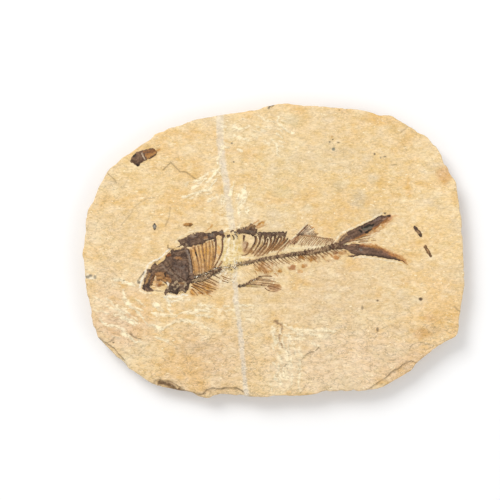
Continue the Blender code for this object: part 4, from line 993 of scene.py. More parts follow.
def skull_colours(points, edge):
    colours = bone_tints(points, edge, "69503F", "8A6F5A", "4A382E", 95, contrast=1.2)
    jaw = spot(points, -40.5, -15, 5.5, 3.2, soft=0.6)
    crushed = mottle(points, 0.75, 97, 2)
    strands = mottle(wandered(points, 1, 3, 99), 0.7, 101, 2, stretch=3)
    colours = laid_over(
        colours, "B9A27F", 0.9 * jaw * above(crushed, 0.56, 8),
        "3B2D24", 0.85 * jaw * below(crushed, 0.42, 8), "94755A", 0.6 * (1 - jaw) * above(strands, 0.56, 8),
        "46352A", 0.6 * (1 - jaw) * below(strands, 0.42, 8),
    )
    return marked(colours, points, skull_marks)


dark_bone = bone_finish("dark_fossil_bone", 0.42, 0.75)
relief_piece("skull", skull_outline, 0.2, skull_heights, skull_colours, dark_bone)

# -------- gill cover
# The one smooth plate of the head: a thin sheet of dark bone over the cheek, its rear edge rounded. It lies
# on the crushed skull, pressed down with it.

gill_outline = [
    (-41.3, -4.3), (-39, -3.9), (-36.4, -4.2), (-35.7, -5.4), (-35.6, -8), (-35.7, -10.6), (-36.4, -12.9),
    (-40.2, -10.4), (-41.8, -9.2), (-42.7, -7.6), (-42.3, -5.6),
]
gill_marks = [
    ([(-41, -5), (-39.6, -5.4), (-38.4, -5.2)], 0.8, "564538", 0.6),
    ([(-41.4, -6.2), (-40.2, -6.6)], 0.7, "7C685C", 0.6),
    ([(-39.2, -7), (-38, -7.4), (-37.6, -6.6)], 0.8, "7F7064", 0.6),
    ([(-37.4, -8.6), (-36.2, -9.6), (-36.2, -11.2)], 1.2, "54443A", 0.6),
    ([(-42.4, -7), (-40.6, -8.6), (-39, -10.4)], 0.35, "81705F", 0.5),
]


def gill_heights(points, edge):
    dome = spot(points, -38.6, -7.8, 4.6, 5.6, soft=1.6)
    cheek = face_height + 0.5 + 0.45 * eased(edge / 0.35 + 0.3)
    return cheek + 0.2 * dome + (mottle(points, 1.2, 103, 2) - 0.5) * 0.08 * eased(edge / 0.4)


def gill_colours(points, edge):
    colours = bone_tints(points, edge, "664D3D", "836B5A", "4A382E", 105, contrast=1.5)
    return marked(colours, points, gill_marks)


gill_bone = bone_finish("smooth_gill_bone", 0.34, 0.6)
relief_piece("gill_cover", gill_outline, 0.22, gill_heights, gill_colours, gill_bone)

# -------- belly scutes
# The armoured edge of the belly: overlapping dark scutes, each with a low keel. It is broken in three where
# the calcite vein and a small pit cross it, and two crumbs of it lie in the gap.

front_scutes = [
    (-40.3, 4.5), (-39.5, 5), (-38.5, 5), (-36.5, 6), (-35.1, 7.2), (-33, 7.8), (-31.4, 8.1), (-29.6, 8.1),
    (-28.4, 7.5), (-27.5, 7.6), (-25.8, 8.2), (-21.4, 8.9), (-20.7, 7.4), (-20.3, 5.4), (-21, 5.2),
    (-21.3, 4.2), (-21.8, 4.3), (-21.6, 5.6), (-22.2, 6.5), (-23.3, 6.9), (-23.8, 6.2), (-24.2, 3.2),
    (-24.8, 3.6), (-25.4, 4.6), (-26.2, 4.6), (-28.3, 3.9), (-29, 3.2), (-30, 2.8), (-32.9, 2.3),
    (-34.5, 1.8), (-36.9, 1.6), (-38.4, 1.9), (-40.7, 1.4), (-39.9, 2.2), (-39.3, 3.2), (-39.6, 4),
]
middle_scutes = [
    (-18.3, 8.2), (-17.2, 8.7), (-16.2, 8.5), (-14.9, 9.2), (-14.2, 8.9), (-12.6, 9.6), (-12, 10.2),
    (-10.9, 10.4), (-9.4, 11.6), (-8.2, 11.4), (-7.4, 10.7), (-7.2, 9.6), (-6.6, 9), (-7.3, 7.2),
    (-8, 6.1), (-8.9, 5.9), (-9.3, 6.6), (-10.4, 7), (-13.6, 7.2), (-14.8, 7.1), (-15.3, 7.6),
    (-15.7, 7.2), (-14.6, 5), (-14.9, 4.8), (-16.3, 6.6), (-16.4, 7.6), (-16.8, 8.2), (-17.6, 8),
]
rear_scutes = [
    (-7, 7.5), (-6.4, 8), (-5, 8), (-3.6, 7.8), (-1.8, 8), (0, 7.9), (3, 8.2), (5.8, 8.3), (5.4, 7.6),
    (5, 5.6), (4.2, 5.6), (3.7, 6.4), (3.2, 5.7), (2.6, 5.6), (2.1, 6.3), (1.5, 6.8), (1.1, 5.9),
    (0.7, 5.6), (0.3, 6.4), (-0.3, 6.5), (-0.9, 5.4), (-1.5, 5.2), (-2.1, 5.9), (-3.5, 5), (-4, 6.1),
    (-4.6, 6.8), (-5.2, 5.8), (-5.8, 5.3), (-6.3, 5.6), (-6.8, 6.6),
]
round_crumb = [
    (-19.9, 6.3), (-19.5, 6.8), (-18.9, 6.8), (-18.5, 7.2), (-18.3, 6.8), (-18.4, 6), (-18.9, 5.6),
    (-19.5, 5.6),
]
long_crumb = [
    (-17.3, 6.6), (-17, 6.7), (-16.6, 5.9), (-16.3, 4.9), (-16.5, 4.3), (-16.9, 4.7), (-17, 5.6),
]
keel_spacing = 1.9
scute_marks = [
    ([(-28.9, 5.6), (-28.1, 5.7)], 1.1, "A37A55", 0.85),
    ([(-34.6, 6.2), (-33.4, 5.9), (-32.6, 6.3)], 0.5, "948172", 0.6),
    ([(-27, 6.6), (-26, 6.6), (-25.4, 7)], 0.7, "7E7568", 0.7),
    ([(-25.8, 7.6), (-23.4, 8.2)], 0.4, "453A31", 0.8),
    ([(-26.2, 5.2), (-25.4, 5.4), (-24.6, 5)], 0.8, "4A3C35", 0.7),
    ([(-22.4, 7.9), (-21.4, 7.7)], 0.8, "7C6D62", 0.7),
    ([(-22, 7), (-21.2, 6.4), (-20.8, 5.6)], 0.6, "58392A", 0.8),
    ([(-16.1, 8), (-16.1, 6.8), (-15.6, 6.2)], 0.5, "3A2E28", 0.8),
    ([(-10.8, 9.5), (-9.4, 10.5), (-7.8, 10.7)], 1.5, "94704A", 0.8),
    ([(-12.2, 8.2), (-8.2, 8)], 0.8, "6E6053", 0.6), ([(-9.9, 9.2), (-9.4, 10)], 0.8, "513829", 0.7),
    ([(-8.8, 8.9), (-7.4, 9.2)], 0.5, "66442C", 0.6),
    ([(-11, 7.3), (-9.4, 7), (-8.2, 6.4)], 0.4, "45352B", 0.7),
    ([(-6.6, 7.7), (-5.2, 7.8), (-3.4, 7.6), (5.4, 8)], 0.35, "4A3A30", 0.7),
]


def scute_piece(name, outline, thickness, keels, seed):
    """A run of scutes, or a crumb of one: dark, rough bone with a low keel on each scute."""
    def heights(points, edge):
        return raised(points, edge, thickness, ridges=keels, roughness=0.09, seed=seed, torn=0.5)

    def colours(points, edge):
        tints = bone_tints(points, edge, "6C523F", "866D58", "50403A", seed + 4)
        flecks = mottle(points, 0.7, seed + 6, 2, stretch=1.8)
        return marked(laid_over(tints, "A98F70", 0.85 * above(flecks, 0.66, 9)), points, scute_marks)

    relief_piece(name, outline, 0.2, heights, colours, dark_bone)


def keels_along(line):
    """One low keel across each scute of a run."""
    made = []
    for number in range(int(walk(line, 0)[1] / keel_spacing)):
        distance = (number + 0.5) * keel_spacing
        middle, after = walk(line, (distance, distance + 0.1))[0]
        way = (after - middle) / math.dist(after, middle)
        across = np.array([way[1], -way[0]]) * 0.9 + way * 0.35
        made.append(([middle - across, middle, middle + across * 0.8], 0.6, 0.3))
    return made


for run_name, run_outline, keel_line, run_seed in (
    ("belly_scutes_front", front_scutes, [(-39, 3.6), (-34, 4.9), (-29, 6.2), (-22.4, 7.7)], 111),
    ("belly_scutes_middle", middle_scutes, [(-15.6, 8), (-12, 8.5), (-8, 9.4)], 121),
    ("belly_scutes_rear", rear_scutes, [(-6.2, 7.45), (5.3, 7.5)], 131),
):
    scute_piece(run_name, run_outline, 0.42, keels_along(keel_line), run_seed)
scute_piece("scute_crumb_round", round_crumb, 0.4, (), 141)
scute_piece("scute_crumb_long", long_crumb, 0.4, (), 141)

# -------- ribs
# Two rows of slender ribs, pressed flat in their stained flesh: ten close behind the head and thirteen behind
# the vein. Each is laid along its own line, swells and thins a little, and tapers to the backbone.

front_ribs = [
    [(-34.9, 0.6), (-34.5, -2), (-33.9, -4.6), (-33.6, -7.2), (-33.5, -9.4)],
    [(-33.3, 1.6), (-31.7, -4.4), (-31.2, -9.2)],
    [(-31.6, 2.3), (-31.3, -0.2), (-30.4, -4.6), (-30.3, -9.4)],
    [(-30, 2.8), (-29.8, 0.6), (-29.1, -4.2), (-28.9, -8.8)], [(-28.5, 3.6), (-28.3, 0.6), (-28.4, -8.2)],
    [(-27, 4.2), (-26.8, 0.8), (-26.9, -2.4), (-27.5, -8.2)],
    [(-25.8, 4.4), (-25.4, 1.2), (-25.4, -1.4), (-25.9, -4.4), (-26.6, -7.6)],
    [(-24.3, 4.8), (-24.2, 1.4), (-24.5, -1.8), (-25.1, -4.6), (-25.9, -7.4)],
    [(-21.5, 4.4), (-21.4, 2.2), (-21.7, -0.2), (-22.3, -1.9), (-23.3, -4), (-25.4, -7.7)],
    [(-21.6, -4.3), (-23.2, -6.9)],
]
front_rib_tones = [0.5, 0.75, 0.5, 0.65, 0.4, 0.45, 0.35, 0.95, 0.9, 0.6]
rear_ribs = [
    [(-12.3, 6.6), (-12.5, 5.4), (-12.5, 4)], [(-10.9, 3.6), (-11.2, 2.2), (-12.3, -0.1)],
    [(-7.6, 6.4), (-7.5, 4.8), (-7.9, 3.3), (-9.7, 0.4), (-10.7, -0.9), (-11.8, -1.6), (-13.4, -1.7)],
    [(-5.8, 6.4), (-5.7, 4.5), (-6.2, 2.9), (-7.9, 0.2), (-9.4, -1.5)],
    [(-3.6, 6.3), (-3.5, 4.5), (-4, 2.9), (-5, 1.6), (-8.3, -2.2)],
    [(-2.4, 5.2), (-2.7, 3), (-3.4, 1.5), (-6.8, -2.2)],
    [(-1.3, 6.3), (-1.2, 4.6), (-1.3, 3.4), (-1.8, 2), (-2.6, 0.5), (-3.5, -0.8)],
    [(0.6, 6.6), (0.5, 5.4), (0.2, 4.2), (-0.6, 2.8), (-1.8, 1.2), (-3.4, -0.6), (-5, -2)],
    [(2.2, 6.2), (1.6, 4.6), (0.9, 3.2), (-3, -1.4)], [(3.4, 5.9), (2.9, 4.4), (2, 3), (-0.9, -0.3)],
    [(4.6, 5.8), (4.1, 4.5), (3.1, 3.2), (0.2, 0.2)], [(6, 5.4), (5.1, 4.2), (4, 3), (1.2, 0.5)],
    [(7, 4.7), (6, 3.5), (3.4, 1.2), (2.2, 0.3)],
]
rear_rib_tones = [0.95, 0.75, 0.95, 0.9, 1, 0.8, 0.9, 0.95, 0.85, 0.8, 0.8, 0.75, 0.6]
bone_floor = face_height + 0.1
rib_width = 0.68
rib_flatness = 0.45
section_sides = 8


def new_tree(name, amounts):
    """An empty node tree that takes a mesh, the named amounts, a seed and a finish, and gives a mesh."""
    tree = bpy.data.node_groups.new(name, "GeometryNodeTree")

    def socket(label, kind, in_out="INPUT"):
        return tree.interface.new_socket(label, in_out=in_out, socket_type="NodeSocket" + kind)

    socket("Geometry", "Geometry")
    for label, start in amounts:
        socket(label, "Float").default_value = start
    socket("Seed", "Int")
    socket("Finish", "Material")
    socket("Geometry", "Geometry", "OUTPUT")
    return tree, tree.nodes.new("NodeGroupInput").outputs, *node_maker(tree)


def smooth_line(added, taken):
    """The paths of the mesh that a tree takes, as smooth curves."""
    curve = added("GeometryNodeMeshToCurve", mesh=taken["Geometry"])
    return added("GeometryNodeCurveSplineType", spline_type="CATMULL_ROM", curve=curve)


def place_parts(added):
    """The X, Y and Z of each point that a tree is at work on."""
    return added("ShaderNodeSeparateXYZ", added("GeometryNodeInputPosition")).node.outputs


def settled(tree, taken, geometry):
    """Ends a tree: its pieces made real, pressed flat on the rock, smoothed and given their finish."""
    added, reckoned = node_maker(tree)
    geometry = added("GeometryNodeRealizeInstances", geometry=geometry)
    if "Flatness" in taken:
        here = place_parts(added)
        level = bone_floor * MM
        kept = reckoned("*", reckoned("-", here["Z"], level), taken["Flatness"])
        pressed = added("ShaderNodeCombineXYZ", here["X"], here["Y"], reckoned("+", kept, level))
        geometry = added("GeometryNodeSetPosition", geometry=geometry, position=pressed)
    geometry = added("GeometryNodeSetShadeSmooth", geometry=geometry)
    geometry = added("GeometryNodeSetMaterial", geometry=geometry, material=taken["Finish"])
    fed(tree.nodes.new("NodeGroupOutput"), geometry=geometry)
    return tree


def laid_bone_tree(name):
    """A tree that lays a round tapering bone along each path of a mesh and presses it flat."""
    amounts = (("Width", 0.0005), ("Tip", 0.6), ("Flatness", 0.6), ("Unevenness", 0.25))
    tree, taken, added, reckoned = new_tree(name, amounts)
    line = added("GeometryNodeResampleCurve", mode="LENGTH", curve=smooth_line(added, taken), length=0.00028)
    share = added("GeometryNodeSplineParameter")
    taper = reckoned("-", 1, reckoned("*", share, reckoned("-", 1, taken["Tip"])))
    wave = added("ShaderNodeTexNoise", noise_dimensions="4D", w=taken["Seed"], scale=900, detail=2)
    swell = reckoned("*", reckoned("-", wave, 0.5), taken["Unevenness"])
    own = added("GeometryNodeInputNamedAttribute", data_type="FLOAT", name="stoutness")
    half = reckoned("*", reckoned("*", taken["Width"], 0.5), own)
    swollen = reckoned("+", 1, reckoned("*", swell, 4))
    size = reckoned("*", reckoned("*", half, taper), swollen)
    profile = added("GeometryNodeCurvePrimitiveCircle", resolution=section_sides, radius=1)
    tube = added("GeometryNodeCurveToMesh", curve=line, profile_curve=profile, scale=size, fill_caps=True)
    return settled(tree, taken, tube)


def grown(name, mesh, tree, settings):
    """The mesh that a node tree makes from a guide mesh, with the tree's inputs set by their names."""
    guide = in_scene(name + "_guide", mesh)
    step = guide.modifiers.new("growth", "NODES")
    step.node_group = tree
    identifiers = {
        item.name: item.identifier for item in tree.interface.items_tree
        if item.item_type == "SOCKET" and item.in_out == "INPUT"
    }
    for label, setting in settings.items():
        step[identifiers[label]] = setting
    bpy.context.view_layer.update()
    graph = bpy.context.evaluated_depsgraph_get()
    made = bpy.data.meshes.new_from_object(guide.evaluated_get(graph))
    guide.modifiers.clear()
    bpy.data.objects.remove(guide)
    made.name = name
    outwards(made)
    return made


def path_guide(name, paths, height, stoutness=None):
    """A guide mesh of open paths at one height, each with its own stoutness."""
    points, edges, values = [], [], []
    for number, path in enumerate(paths):
        first = len(points)
        points += [(x * MM, y * MM, height * MM) for x, y in path]
        edges += [(first + k, first + k + 1) for k in range(len(path) - 1)]
        values += [stoutness[number] if stoutness else 1] * len(path)
    mesh = bpy.data.meshes.new(name)
    mesh.from_pydata(points, edges, [])
    graded(mesh, "stoutness", values)
    return mesh


def slender_bones(name, paths, width, tip, unevenness, finish, seed, stoutness=None):
    """The mesh of a flattened bone along each path, set a little into the rock."""
    guide = path_guide(name + "_paths", paths, bone_floor - width * 0.06, stoutness)
    settings = {
        "Width": width * MM, "Tip": tip, "Flatness": rib_flatness, "Unevenness": unevenness, "Seed": seed,
        "Finish": finish,
    }
    return grown(name, guide, bone_tree, settings)


def flat_places(mesh):
    """The X and Y of each point of a mesh, in millimetres."""
    places = np.empty(len(mesh.vertices) * 3)
    mesh.vertices.foreach_get("co", places)
    return places.reshape(-1, 3)[:, :2] / MM


def rib_colours(mesh, paths, tones, dark, light, lightest, fade):
    """Each rib's own tone, darkest at its head and fading into the stained rock at its tip."""
    points = flat_places(mesh)
    best = np.full(len(points), 1e9)
    tone = np.zeros(len(points))
    for path, own in zip(paths, tones):
        away, share = distance_to(points, path)
        closer = away < best
        best[closer] = away[closer]
        tone[closer] = own * (1 - fade * share[closer])
    tone += (mottle(points, 1, 151, 2) - 0.5) * 0.5
    return laid_over(plain(points, lightest), light, eased(tone * 2.2), dark, above(tone, 0.45, 2.2))


def tinted_bones(name, paths, sizes, seed, finish, stoutness, tones, tints, marks=(), fade=0.35):
    """Slender bones of a width, tip and unevenness, each in its own tone, with small marks over them."""
    mesh = slender_bones(name, paths, *sizes, finish, seed, stoutness)
    colours = rib_colours(mesh, paths, tones, *tints, fade)
    return painted(mesh, marked(colours, flat_places(mesh), marks))


def bone_row(name, nodes, paths, sizes, seed, finish, slot, *looks, **more):
    """Tinted bones as one piece of the slab, in place of the CAD nodes that stand for them."""
    set_in_place(name, tinted_bones(name, paths, sizes, seed, finish, *looks, **more), finish, nodes)


def numbered(name, count):
    """The names of a row of CAD nodes."""
    return [name.format(number) for number in range(1, count + 1)]


fine_ribs = [
    [(-6.8, 5.4), (-7.2, 3.4), (-9.4, 0), (-10.8, -1.3)],
    [(-4.6, 4.4), (-5, 2.8), (-6.2, 1), (-7.6, -0.6)], [(-2.9, 3.6), (-4, 1.6), (-6.4, -1.4)],
    [(-0.6, 5), (-1, 3.4), (-2.2, 1.2), (-4.2, -1)], [(1.3, 5.6), (0.6, 3.6), (-2.6, -0.6)],
    [(2.9, 4.9), (1.9, 3.2), (-1.2, 0)], [(5, 4.9), (3.7, 3.3), (0.6, 0.5)],
]
bone_tree = laid_bone_tree("laid_bones")
rib_bone = bone_finish("rib_fossil_bone", 0.5, 0.8)
rib_dots = [
    ([(-32.7, -0.9), (-32.4, -1.5)], 0.9, "2A1E19", 0.95),
    ([(-29.1, -3.8), (-29, -4.2)], 0.7, "4B3826", 0.8),
    ([(-12.4, 6.2), (-12.5, 4.4)], 0.9, "553626", 0.6),
]
bone_row(
    "front_ribs", numbered("front_rib_{:02d}", 10), front_ribs, (rib_width, 0.75, 0.35), 3,
    rib_bone, "rib_bone", None, front_rib_tones, ("785440", "B08456", "D8A866"), rib_dots,
)
rear_stoutness = [1.2, 0.8, 1, 1, 1.05, 0.8, 0.95, 1, 0.9, 0.85, 0.85, 0.85, 0.8]
bone_row(
    "rear_ribs", numbered("rear_rib_{:02d}", 13), rear_ribs + fine_ribs, (0.86, 0.28, 0.35), 5,
    rib_bone, "rib_bone", rear_stoutness + [0.34] * len(fine_ribs), rear_rib_tones + [0.35] * len(fine_ribs),
    ("5E4534", "986C44", "CC9A60"), rib_dots, fade=0.6,
)

# -------- backbone
# Short waisted vertebrae of dark bone in a row, crushed flat: a long run from the middle to the tail, and a
# broken run under the skull. A slanting spine is grown onto each vertebra below, and short arches onto the
# last ones above.

broken_run = [(-33.6, -12.3), (-31, -12), (-27.5, -10.6), (-25.4, -8.9), (-22.6, -7.8)]
long_run = [
    (-15, -5.7), (-5, -3.5), (0.5, -2.5), (10, -1.1), (15.5, -0.5), (18.2, -0.1), (21.3, 0.7), (23.7, 1.5),
    (27, 2.3),
]
vertebra_length = 1.45
spine_slant = 47
vertebra_flatness = 0.55
first_spine = 6
first_arch = 27


def by_chance(added, taken, least, most):
    """A random value, or three of them, between two others, by the seed of the tree."""
    kind = "FLOAT" if isinstance(least, float) else "FLOAT_VECTOR"
    return added("FunctionNodeRandomValue", data_type=kind, min=least, max=most, seed=taken["Seed"])


def vertebra_tree():
    """A tree that sets a waisted vertebra at each step of a path, turned and sized a little by chance."""
    amounts = (("Spacing", 0.00145), ("Start width", 0.0015), ("End width", 0.0024), ("Flatness", 0.6))
    tree, taken, added, reckoned = new_tree("vertebra_row", amounts)
    body = added("GeometryNodeMeshCylinder", vertices=12, side_segments=6, radius=1, depth=1)
    here = place_parts(added)
    reach = reckoned("*", reckoned("ABSOLUTE", here["Z"]), 2)
    flare = reckoned("+", 0.66, reckoned("*", reckoned("POWER", reach, 2), 0.34))
    waist = reckoned("-", flare, reckoned("*", reckoned("POWER", reach, 14), 0.16))
    sides = [reckoned("*", here[axis], waist) for axis in ("X", "Y")]
    place = added("ShaderNodeCombineXYZ", *sides, here["Z"])
    vertebra = added("GeometryNodeSetPosition", geometry=body, position=place)

    share = added("GeometryNodeSplineParameter")
    growth = reckoned("*", share, reckoned("-", taken["End width"], taken["Start width"]))
    fill = reckoned("MINIMUM", reckoned("+", 0.5, reckoned("*", share, 4)), 1)
    width = reckoned("*", reckoned("+", taken["Start width"], growth), fill)
    line = added(
        "GeometryNodeStoreNamedAttribute", data_type="FLOAT", geometry=smooth_line(added, taken),
        name="row_width", value=width,
    )
    stations = added("GeometryNodeCurveToPoints", mode="LENGTH", curve=line, length=taken["Spacing"])
    kept = added("GeometryNodeInputNamedAttribute", data_type="FLOAT", name="row_width")
    chance = by_chance(added, taken, 0.8, 1.12)
    across = reckoned("*", reckoned("*", kept, 0.5), chance)
    size = added("ShaderNodeCombineXYZ", across, across, reckoned("*", taken["Spacing"], 1.04))
    lean = by_chance(added, taken, (-0.13, -0.13, -0.6), (0.13, 0.13, 0.6))
    way = stations.node.outputs["Rotation"]
    leaning = added("FunctionNodeRotateRotation", rotation_space="LOCAL", rotation=way, rotate_by=lean)
    row = added(
        "GeometryNodeInstanceOnPoints", points=stations, instance=vertebra, rotation=leaning, scale=size,
    )
    return settled(tree, taken, row)


def slanted(path, distance, angle, length, bend):
    """A slightly bent line that leaves a path at a distance along it, at an angle to it."""
    before, root, after = walk(path, (distance - 0.5, distance, distance + 0.5))[0]
    out = turned((after - before) / math.dist(before, after), angle)
    side = np.array([out[1], -out[0]]) * bend * length
    return [root, root + out * length * 0.5 + side, root + out * length]


def backbone_spines():
    """The paths of the long run's spines and arches, and how stout each one is."""
    chance = np.random.default_rng(17)
    paths, stout = [], []
    total = walk(long_run, 0)[1]
    distance = first_spine
    while distance < total - 0.5:
        share = (distance - first_spine) / (total - first_spine)
        length = (6 - 2 * share) * chance.uniform(0.75, 1.1)
        paths.append(slanted(long_run, distance, -spine_slant + chance.uniform(-6, 6), length, 0.04))
        stout.append(chance.uniform(0.85, 1.1))
        if distance > first_arch:
            paths.append(slanted(long_run, distance, spine_slant + chance.uniform(-4, 4), 2.2, -0.06))
            stout.append(0.9)
        distance += vertebra_length
    return paths, stout


def row_of_vertebrae(name, path, start, end):
    guide = path_guide(name + "_line", [path], bone_floor + 0.3)
    settings = {
        "Spacing": vertebra_length * MM, "Start width": start * MM, "End width": end * MM,
        "Flatness": vertebra_flatness, "Seed": 9, "Finish": dark_bone,
    }
    return grown(name, guide, row_tree, settings)


def joined_meshes(name, meshes):
    """Several meshes as one, each keeping its points' colours."""
    points, faces, colours = [], [], []
    total = 0
    for mesh in meshes:
        points += [tuple(vertex.co) for vertex in mesh.vertices]
        faces += [tuple(total + index for index in polygon.vertices) for polygon in mesh.polygons]
        colours.append(np.array([item.color[:3] for item in mesh.color_attributes["bone_colour"].data]))
        total += len(mesh.vertices)
    whole = bpy.data.meshes.new(name)
    whole.from_pydata(points, [], faces)
    whole.shade_smooth()
    return painted(whole, np.concatenate(colours))


def vertebra_colours(mesh, line, seed):
    """Dark vertebrae, no two alike, with pale rock caught in the slanting joints between them."""
    points = flat_places(mesh)
    colours = bone_tints(points, np.ones(len(points)), "664836", "A38463", "452F24", seed, contrast=1.3)
    away, share = distance_to(points, line)
    gone = share * walk(line, 0)[1]
    along = gone + 0.4 * away + 0.5 * mottle(points, 1.6, seed + 7)
    joint = eased(np.cos(along / vertebra_length * 2 * math.pi) * 3 - 1.9)
    return laid_over(
        colours, "B89C76", 0.6 * eased((6 - gone) / 5),
        "C2A67E", 0.75 * joint * above(mottle(points, 1, seed + 9), 0.2, 2),
        "C9AE84", 0.7 * above(mottle(points, 0.6, seed + 11), 0.74, 8),
    )


row_tree = vertebra_tree()
long_mesh = row_of_vertebrae("backbone", long_run, 1.5, 2.8)
painted(long_mesh, vertebra_colours(long_mesh, long_run, 161))
spine_paths, spine_stoutness = backbone_spines()
spine_mesh = slender_bones("backbone_spines", spine_paths, 0.32, 0.6, 0.25, rib_bone, 7, spine_stoutness)
spine_points = flat_places(spine_mesh)
spine_away, _ = distance_to(spine_points, long_run)
spine_layers = "946840", eased((spine_away - 0.6) / 1.6), "B88C58", 0.8 * eased((spine_away - 1.8) / 1.4)
painted(spine_mesh, laid_over(plain(spine_points, "744E3A"), *spine_layers))
backbone_mesh = joined_meshes("backbone", [long_mesh, spine_mesh])
set_in_place("backbone", backbone_mesh, dark_bone, ["backbone"])
broken_mesh = row_of_vertebrae("backbone_front_run", broken_run, 2.4, 1.7)
painted(broken_mesh, vertebra_colours(broken_mesh, broken_run, 171))
set_in_place("backbone_front_run", broken_mesh, dark_bone, ["backbone_front_run"])

# -------- bone crumbs
# Crumbs of crushed bone and of pale rock, stuck in the face where the skeleton broke up: along the broken
# run, across the vein, under the jaw, on the middle scutes and beside the base of the back fin.

dark_crumbs = ["4E3C30", "5E4A3A", "6C5444", "7E6650", "98806A"]
pale_crumbs = ["C8B08A", "E4D0AC", "F4E8D0", "FBF4E4"]
# Path, width, crumbs on each square millimetre, size, share of pale ones.
crumb_bands = [
    ([(-34.6, -12.4), (-28, -10.4), (-25.4, -8.9), (-22.8, -7.9)], 3, 8, 0.5, 0.25),
    ([(-22.8, -7.9), (-15, -5.9)], 2.8, 3.4, 0.42, 0.65),
    ([(-15.4, -5.9), (-9, -4.4)], 1.9, 6, 0.45, 0.35),
    ([(-22, -10.4), (-17, -11), (-14, -13.6)], 3, 0.9, 0.26, 0.7),
    ([(-44.8, -17.6), (-36.8, -16.6)], 2, 4, 0.3, 0.5),
    ([(-44.4, -14.4), (-40, -14.6), (-36.4, -14)], 3, 3, 0.28, 0.35),
    ([(-16.4, 8), (-12, 8.9), (-8.4, 10.2)], 2.4, 3, 0.42, 0.2),
    ([(-15, -14.9), (-12.7, -14.5), (-10.8, -13.7), (-8, -11.9), (-5, -10.8)], 1.3, 5, 0.42, 0.15),
    ([(-34.4, 1.2), (-24.8, 4.4)], 1, 3, 0.28, 0.4), ([(-21, 6.8), (-17.4, 7.4)], 2.4, 1.6, 0.26, 0.7),
    ([(24, 1.6), (30, 1.8)], 2.6, 2.4, 0.3, 0.3),
]


def crumb_tree():
    """A node tree that strews small uneven crumbs over the faces of a mesh, flat on the rock."""
    tree, taken, added, _ = new_tree("strewn_crumbs", (("Density", 4e6), ("Size", 0.0003)))
    strewn = added(
        "GeometryNodeDistributePointsOnFaces", mesh=taken["Geometry"], density=taken["Density"],
        seed=taken["Seed"],
    )
    crumb = added("GeometryNodeMeshIcoSphere", radius=0.5, subdivisions=1)
    shape = by_chance(added, taken, (0.4, 0.4, 0.5), (1.9, 1.1, 0.9))
    size = added("ShaderNodeVectorMath", shape, operation="SCALE", scale=taken["Size"])
    turn = by_chance(added, taken, (-0.2, -0.2, -3.1), (0.2, 0.2, 3.1))
    placed = added("GeometryNodeInstanceOnPoints", points=strewn, instance=crumb, rotation=turn, scale=size)
    return settled(tree, taken, placed)


def crumb_band(number, path, width, density, size, pale_share):
    """The crumbs strewn over one band, each dark or pale by chance."""
    line = evenly(path, 0.8)
    count = len(line)
    sides = side_ways(line) * width / 2
    edges = np.concatenate([line - sides, line + sides])
    band = np.column_stack([edges, np.full(2 * count, bone_floor - 0.02)])
    guide = bpy.data.meshes.new("crumb_band")
    faces = [(k, k + 1, count + k + 1, count + k) for k in range(count - 1)]
    guide.from_pydata((band * MM).tolist(), [], faces)
    settings = {"Density": density * 1e6, "Size": size * MM, "Seed": 60 + number, "Finish": dark_bone}
    mesh = grown(f"crumbs_{number}", guide, strewing_tree, settings)
    chance = np.random.default_rng(60 + number)
    tints = [
        linear(chance.choice(pale_crumbs if chance.random() < pale_share else dark_crumbs))
        for _ in range(len(mesh.vertices) // points_of_crumb)
    ]
    return painted(mesh, np.repeat(tints, points_of_crumb, 0))


points_of_crumb = 12
strewing_tree = crumb_tree()
crumb_meshes = [crumb_band(number, *band) for number, band in enumerate(crumb_bands)]
set_in_place("bone_crumbs", joined_meshes("bone_crumbs", crumb_meshes), dark_bone, [])

# -------- neck spines
# Fine bones that fan out to the right under the skull and the broken run. They are brown fossil bone, held
# in rock that is stained orange round them.

neck_spines = [
    [(-34, -13.9), (-31, -15.1), (-28.6, -16.3), (-27, -16.7), (-25.4, -16.9)],
    [(-34.6, -14.8), (-32.6, -15.8), (-29.6, -18)],
    [(-33, -13.3), (-29.6, -14.4), (-27, -15.5), (-24.2, -16.1)],
    [(-28.9, -12.4), (-26.4, -13.4), (-24, -14.2)], [(-26.9, -11.4), (-23, -13.3)],
    [(-24.9, -10.1), (-23.6, -10.9), (-22.4, -11.5)], [(-34.4, -15.9), (-33.2, -17), (-31.8, -18.7)],
    [(-22, -10.3), (-20.4, -11), (-18.2, -11.8)], [(-21.6, -12.5), (-19, -13.2)],
]
fine_neck_lines = [
    [(-31.4, -13), (-26.2, -14.9)], [(-33.6, -14.4), (-31.2, -15.7), (-29.6, -16.9)],
    [(-27.8, -12), (-24.2, -13.9)], [(-21.2, -11.5), (-18.6, -12.7)], [(-35.2, -16.8), (-34.2, -18)],
    [(-30.2, -12.8), (-27.4, -14.2)],
]
neck_tones = [0.95, 0.9, 0.85, 0.75, 0.7, 0.8, 0.75, 0.5, 0.7, 0.5, 0.55, 0.55, 0.45, 0.6, 0.5]
neck_marks = [
    ([(-30.2, -17.5), (-29.6, -17.9)], 0.9, "5E3820", 0.9),
    ([(-19.5, -13.1), (-19, -13.3)], 0.8, "3B2F26", 0.9),
]
bone_row(
    "neck_spines", numbered("neck_spine_{}", 9), neck_spines + fine_neck_lines, (0.38, 0.6, 0.25), 11,
    rib_bone, "rib_bone", [1] * 9 + [0.7] * 6, neck_tones, ("6E4A30", "9E7042", "C6945A"), neck_marks,
)

# -------- back fin
# The back fin lies folded below the backbone: one stout dark bone along its base, and thin rays of lighter
# bone spread to the right, all pressed into the face of the rock.

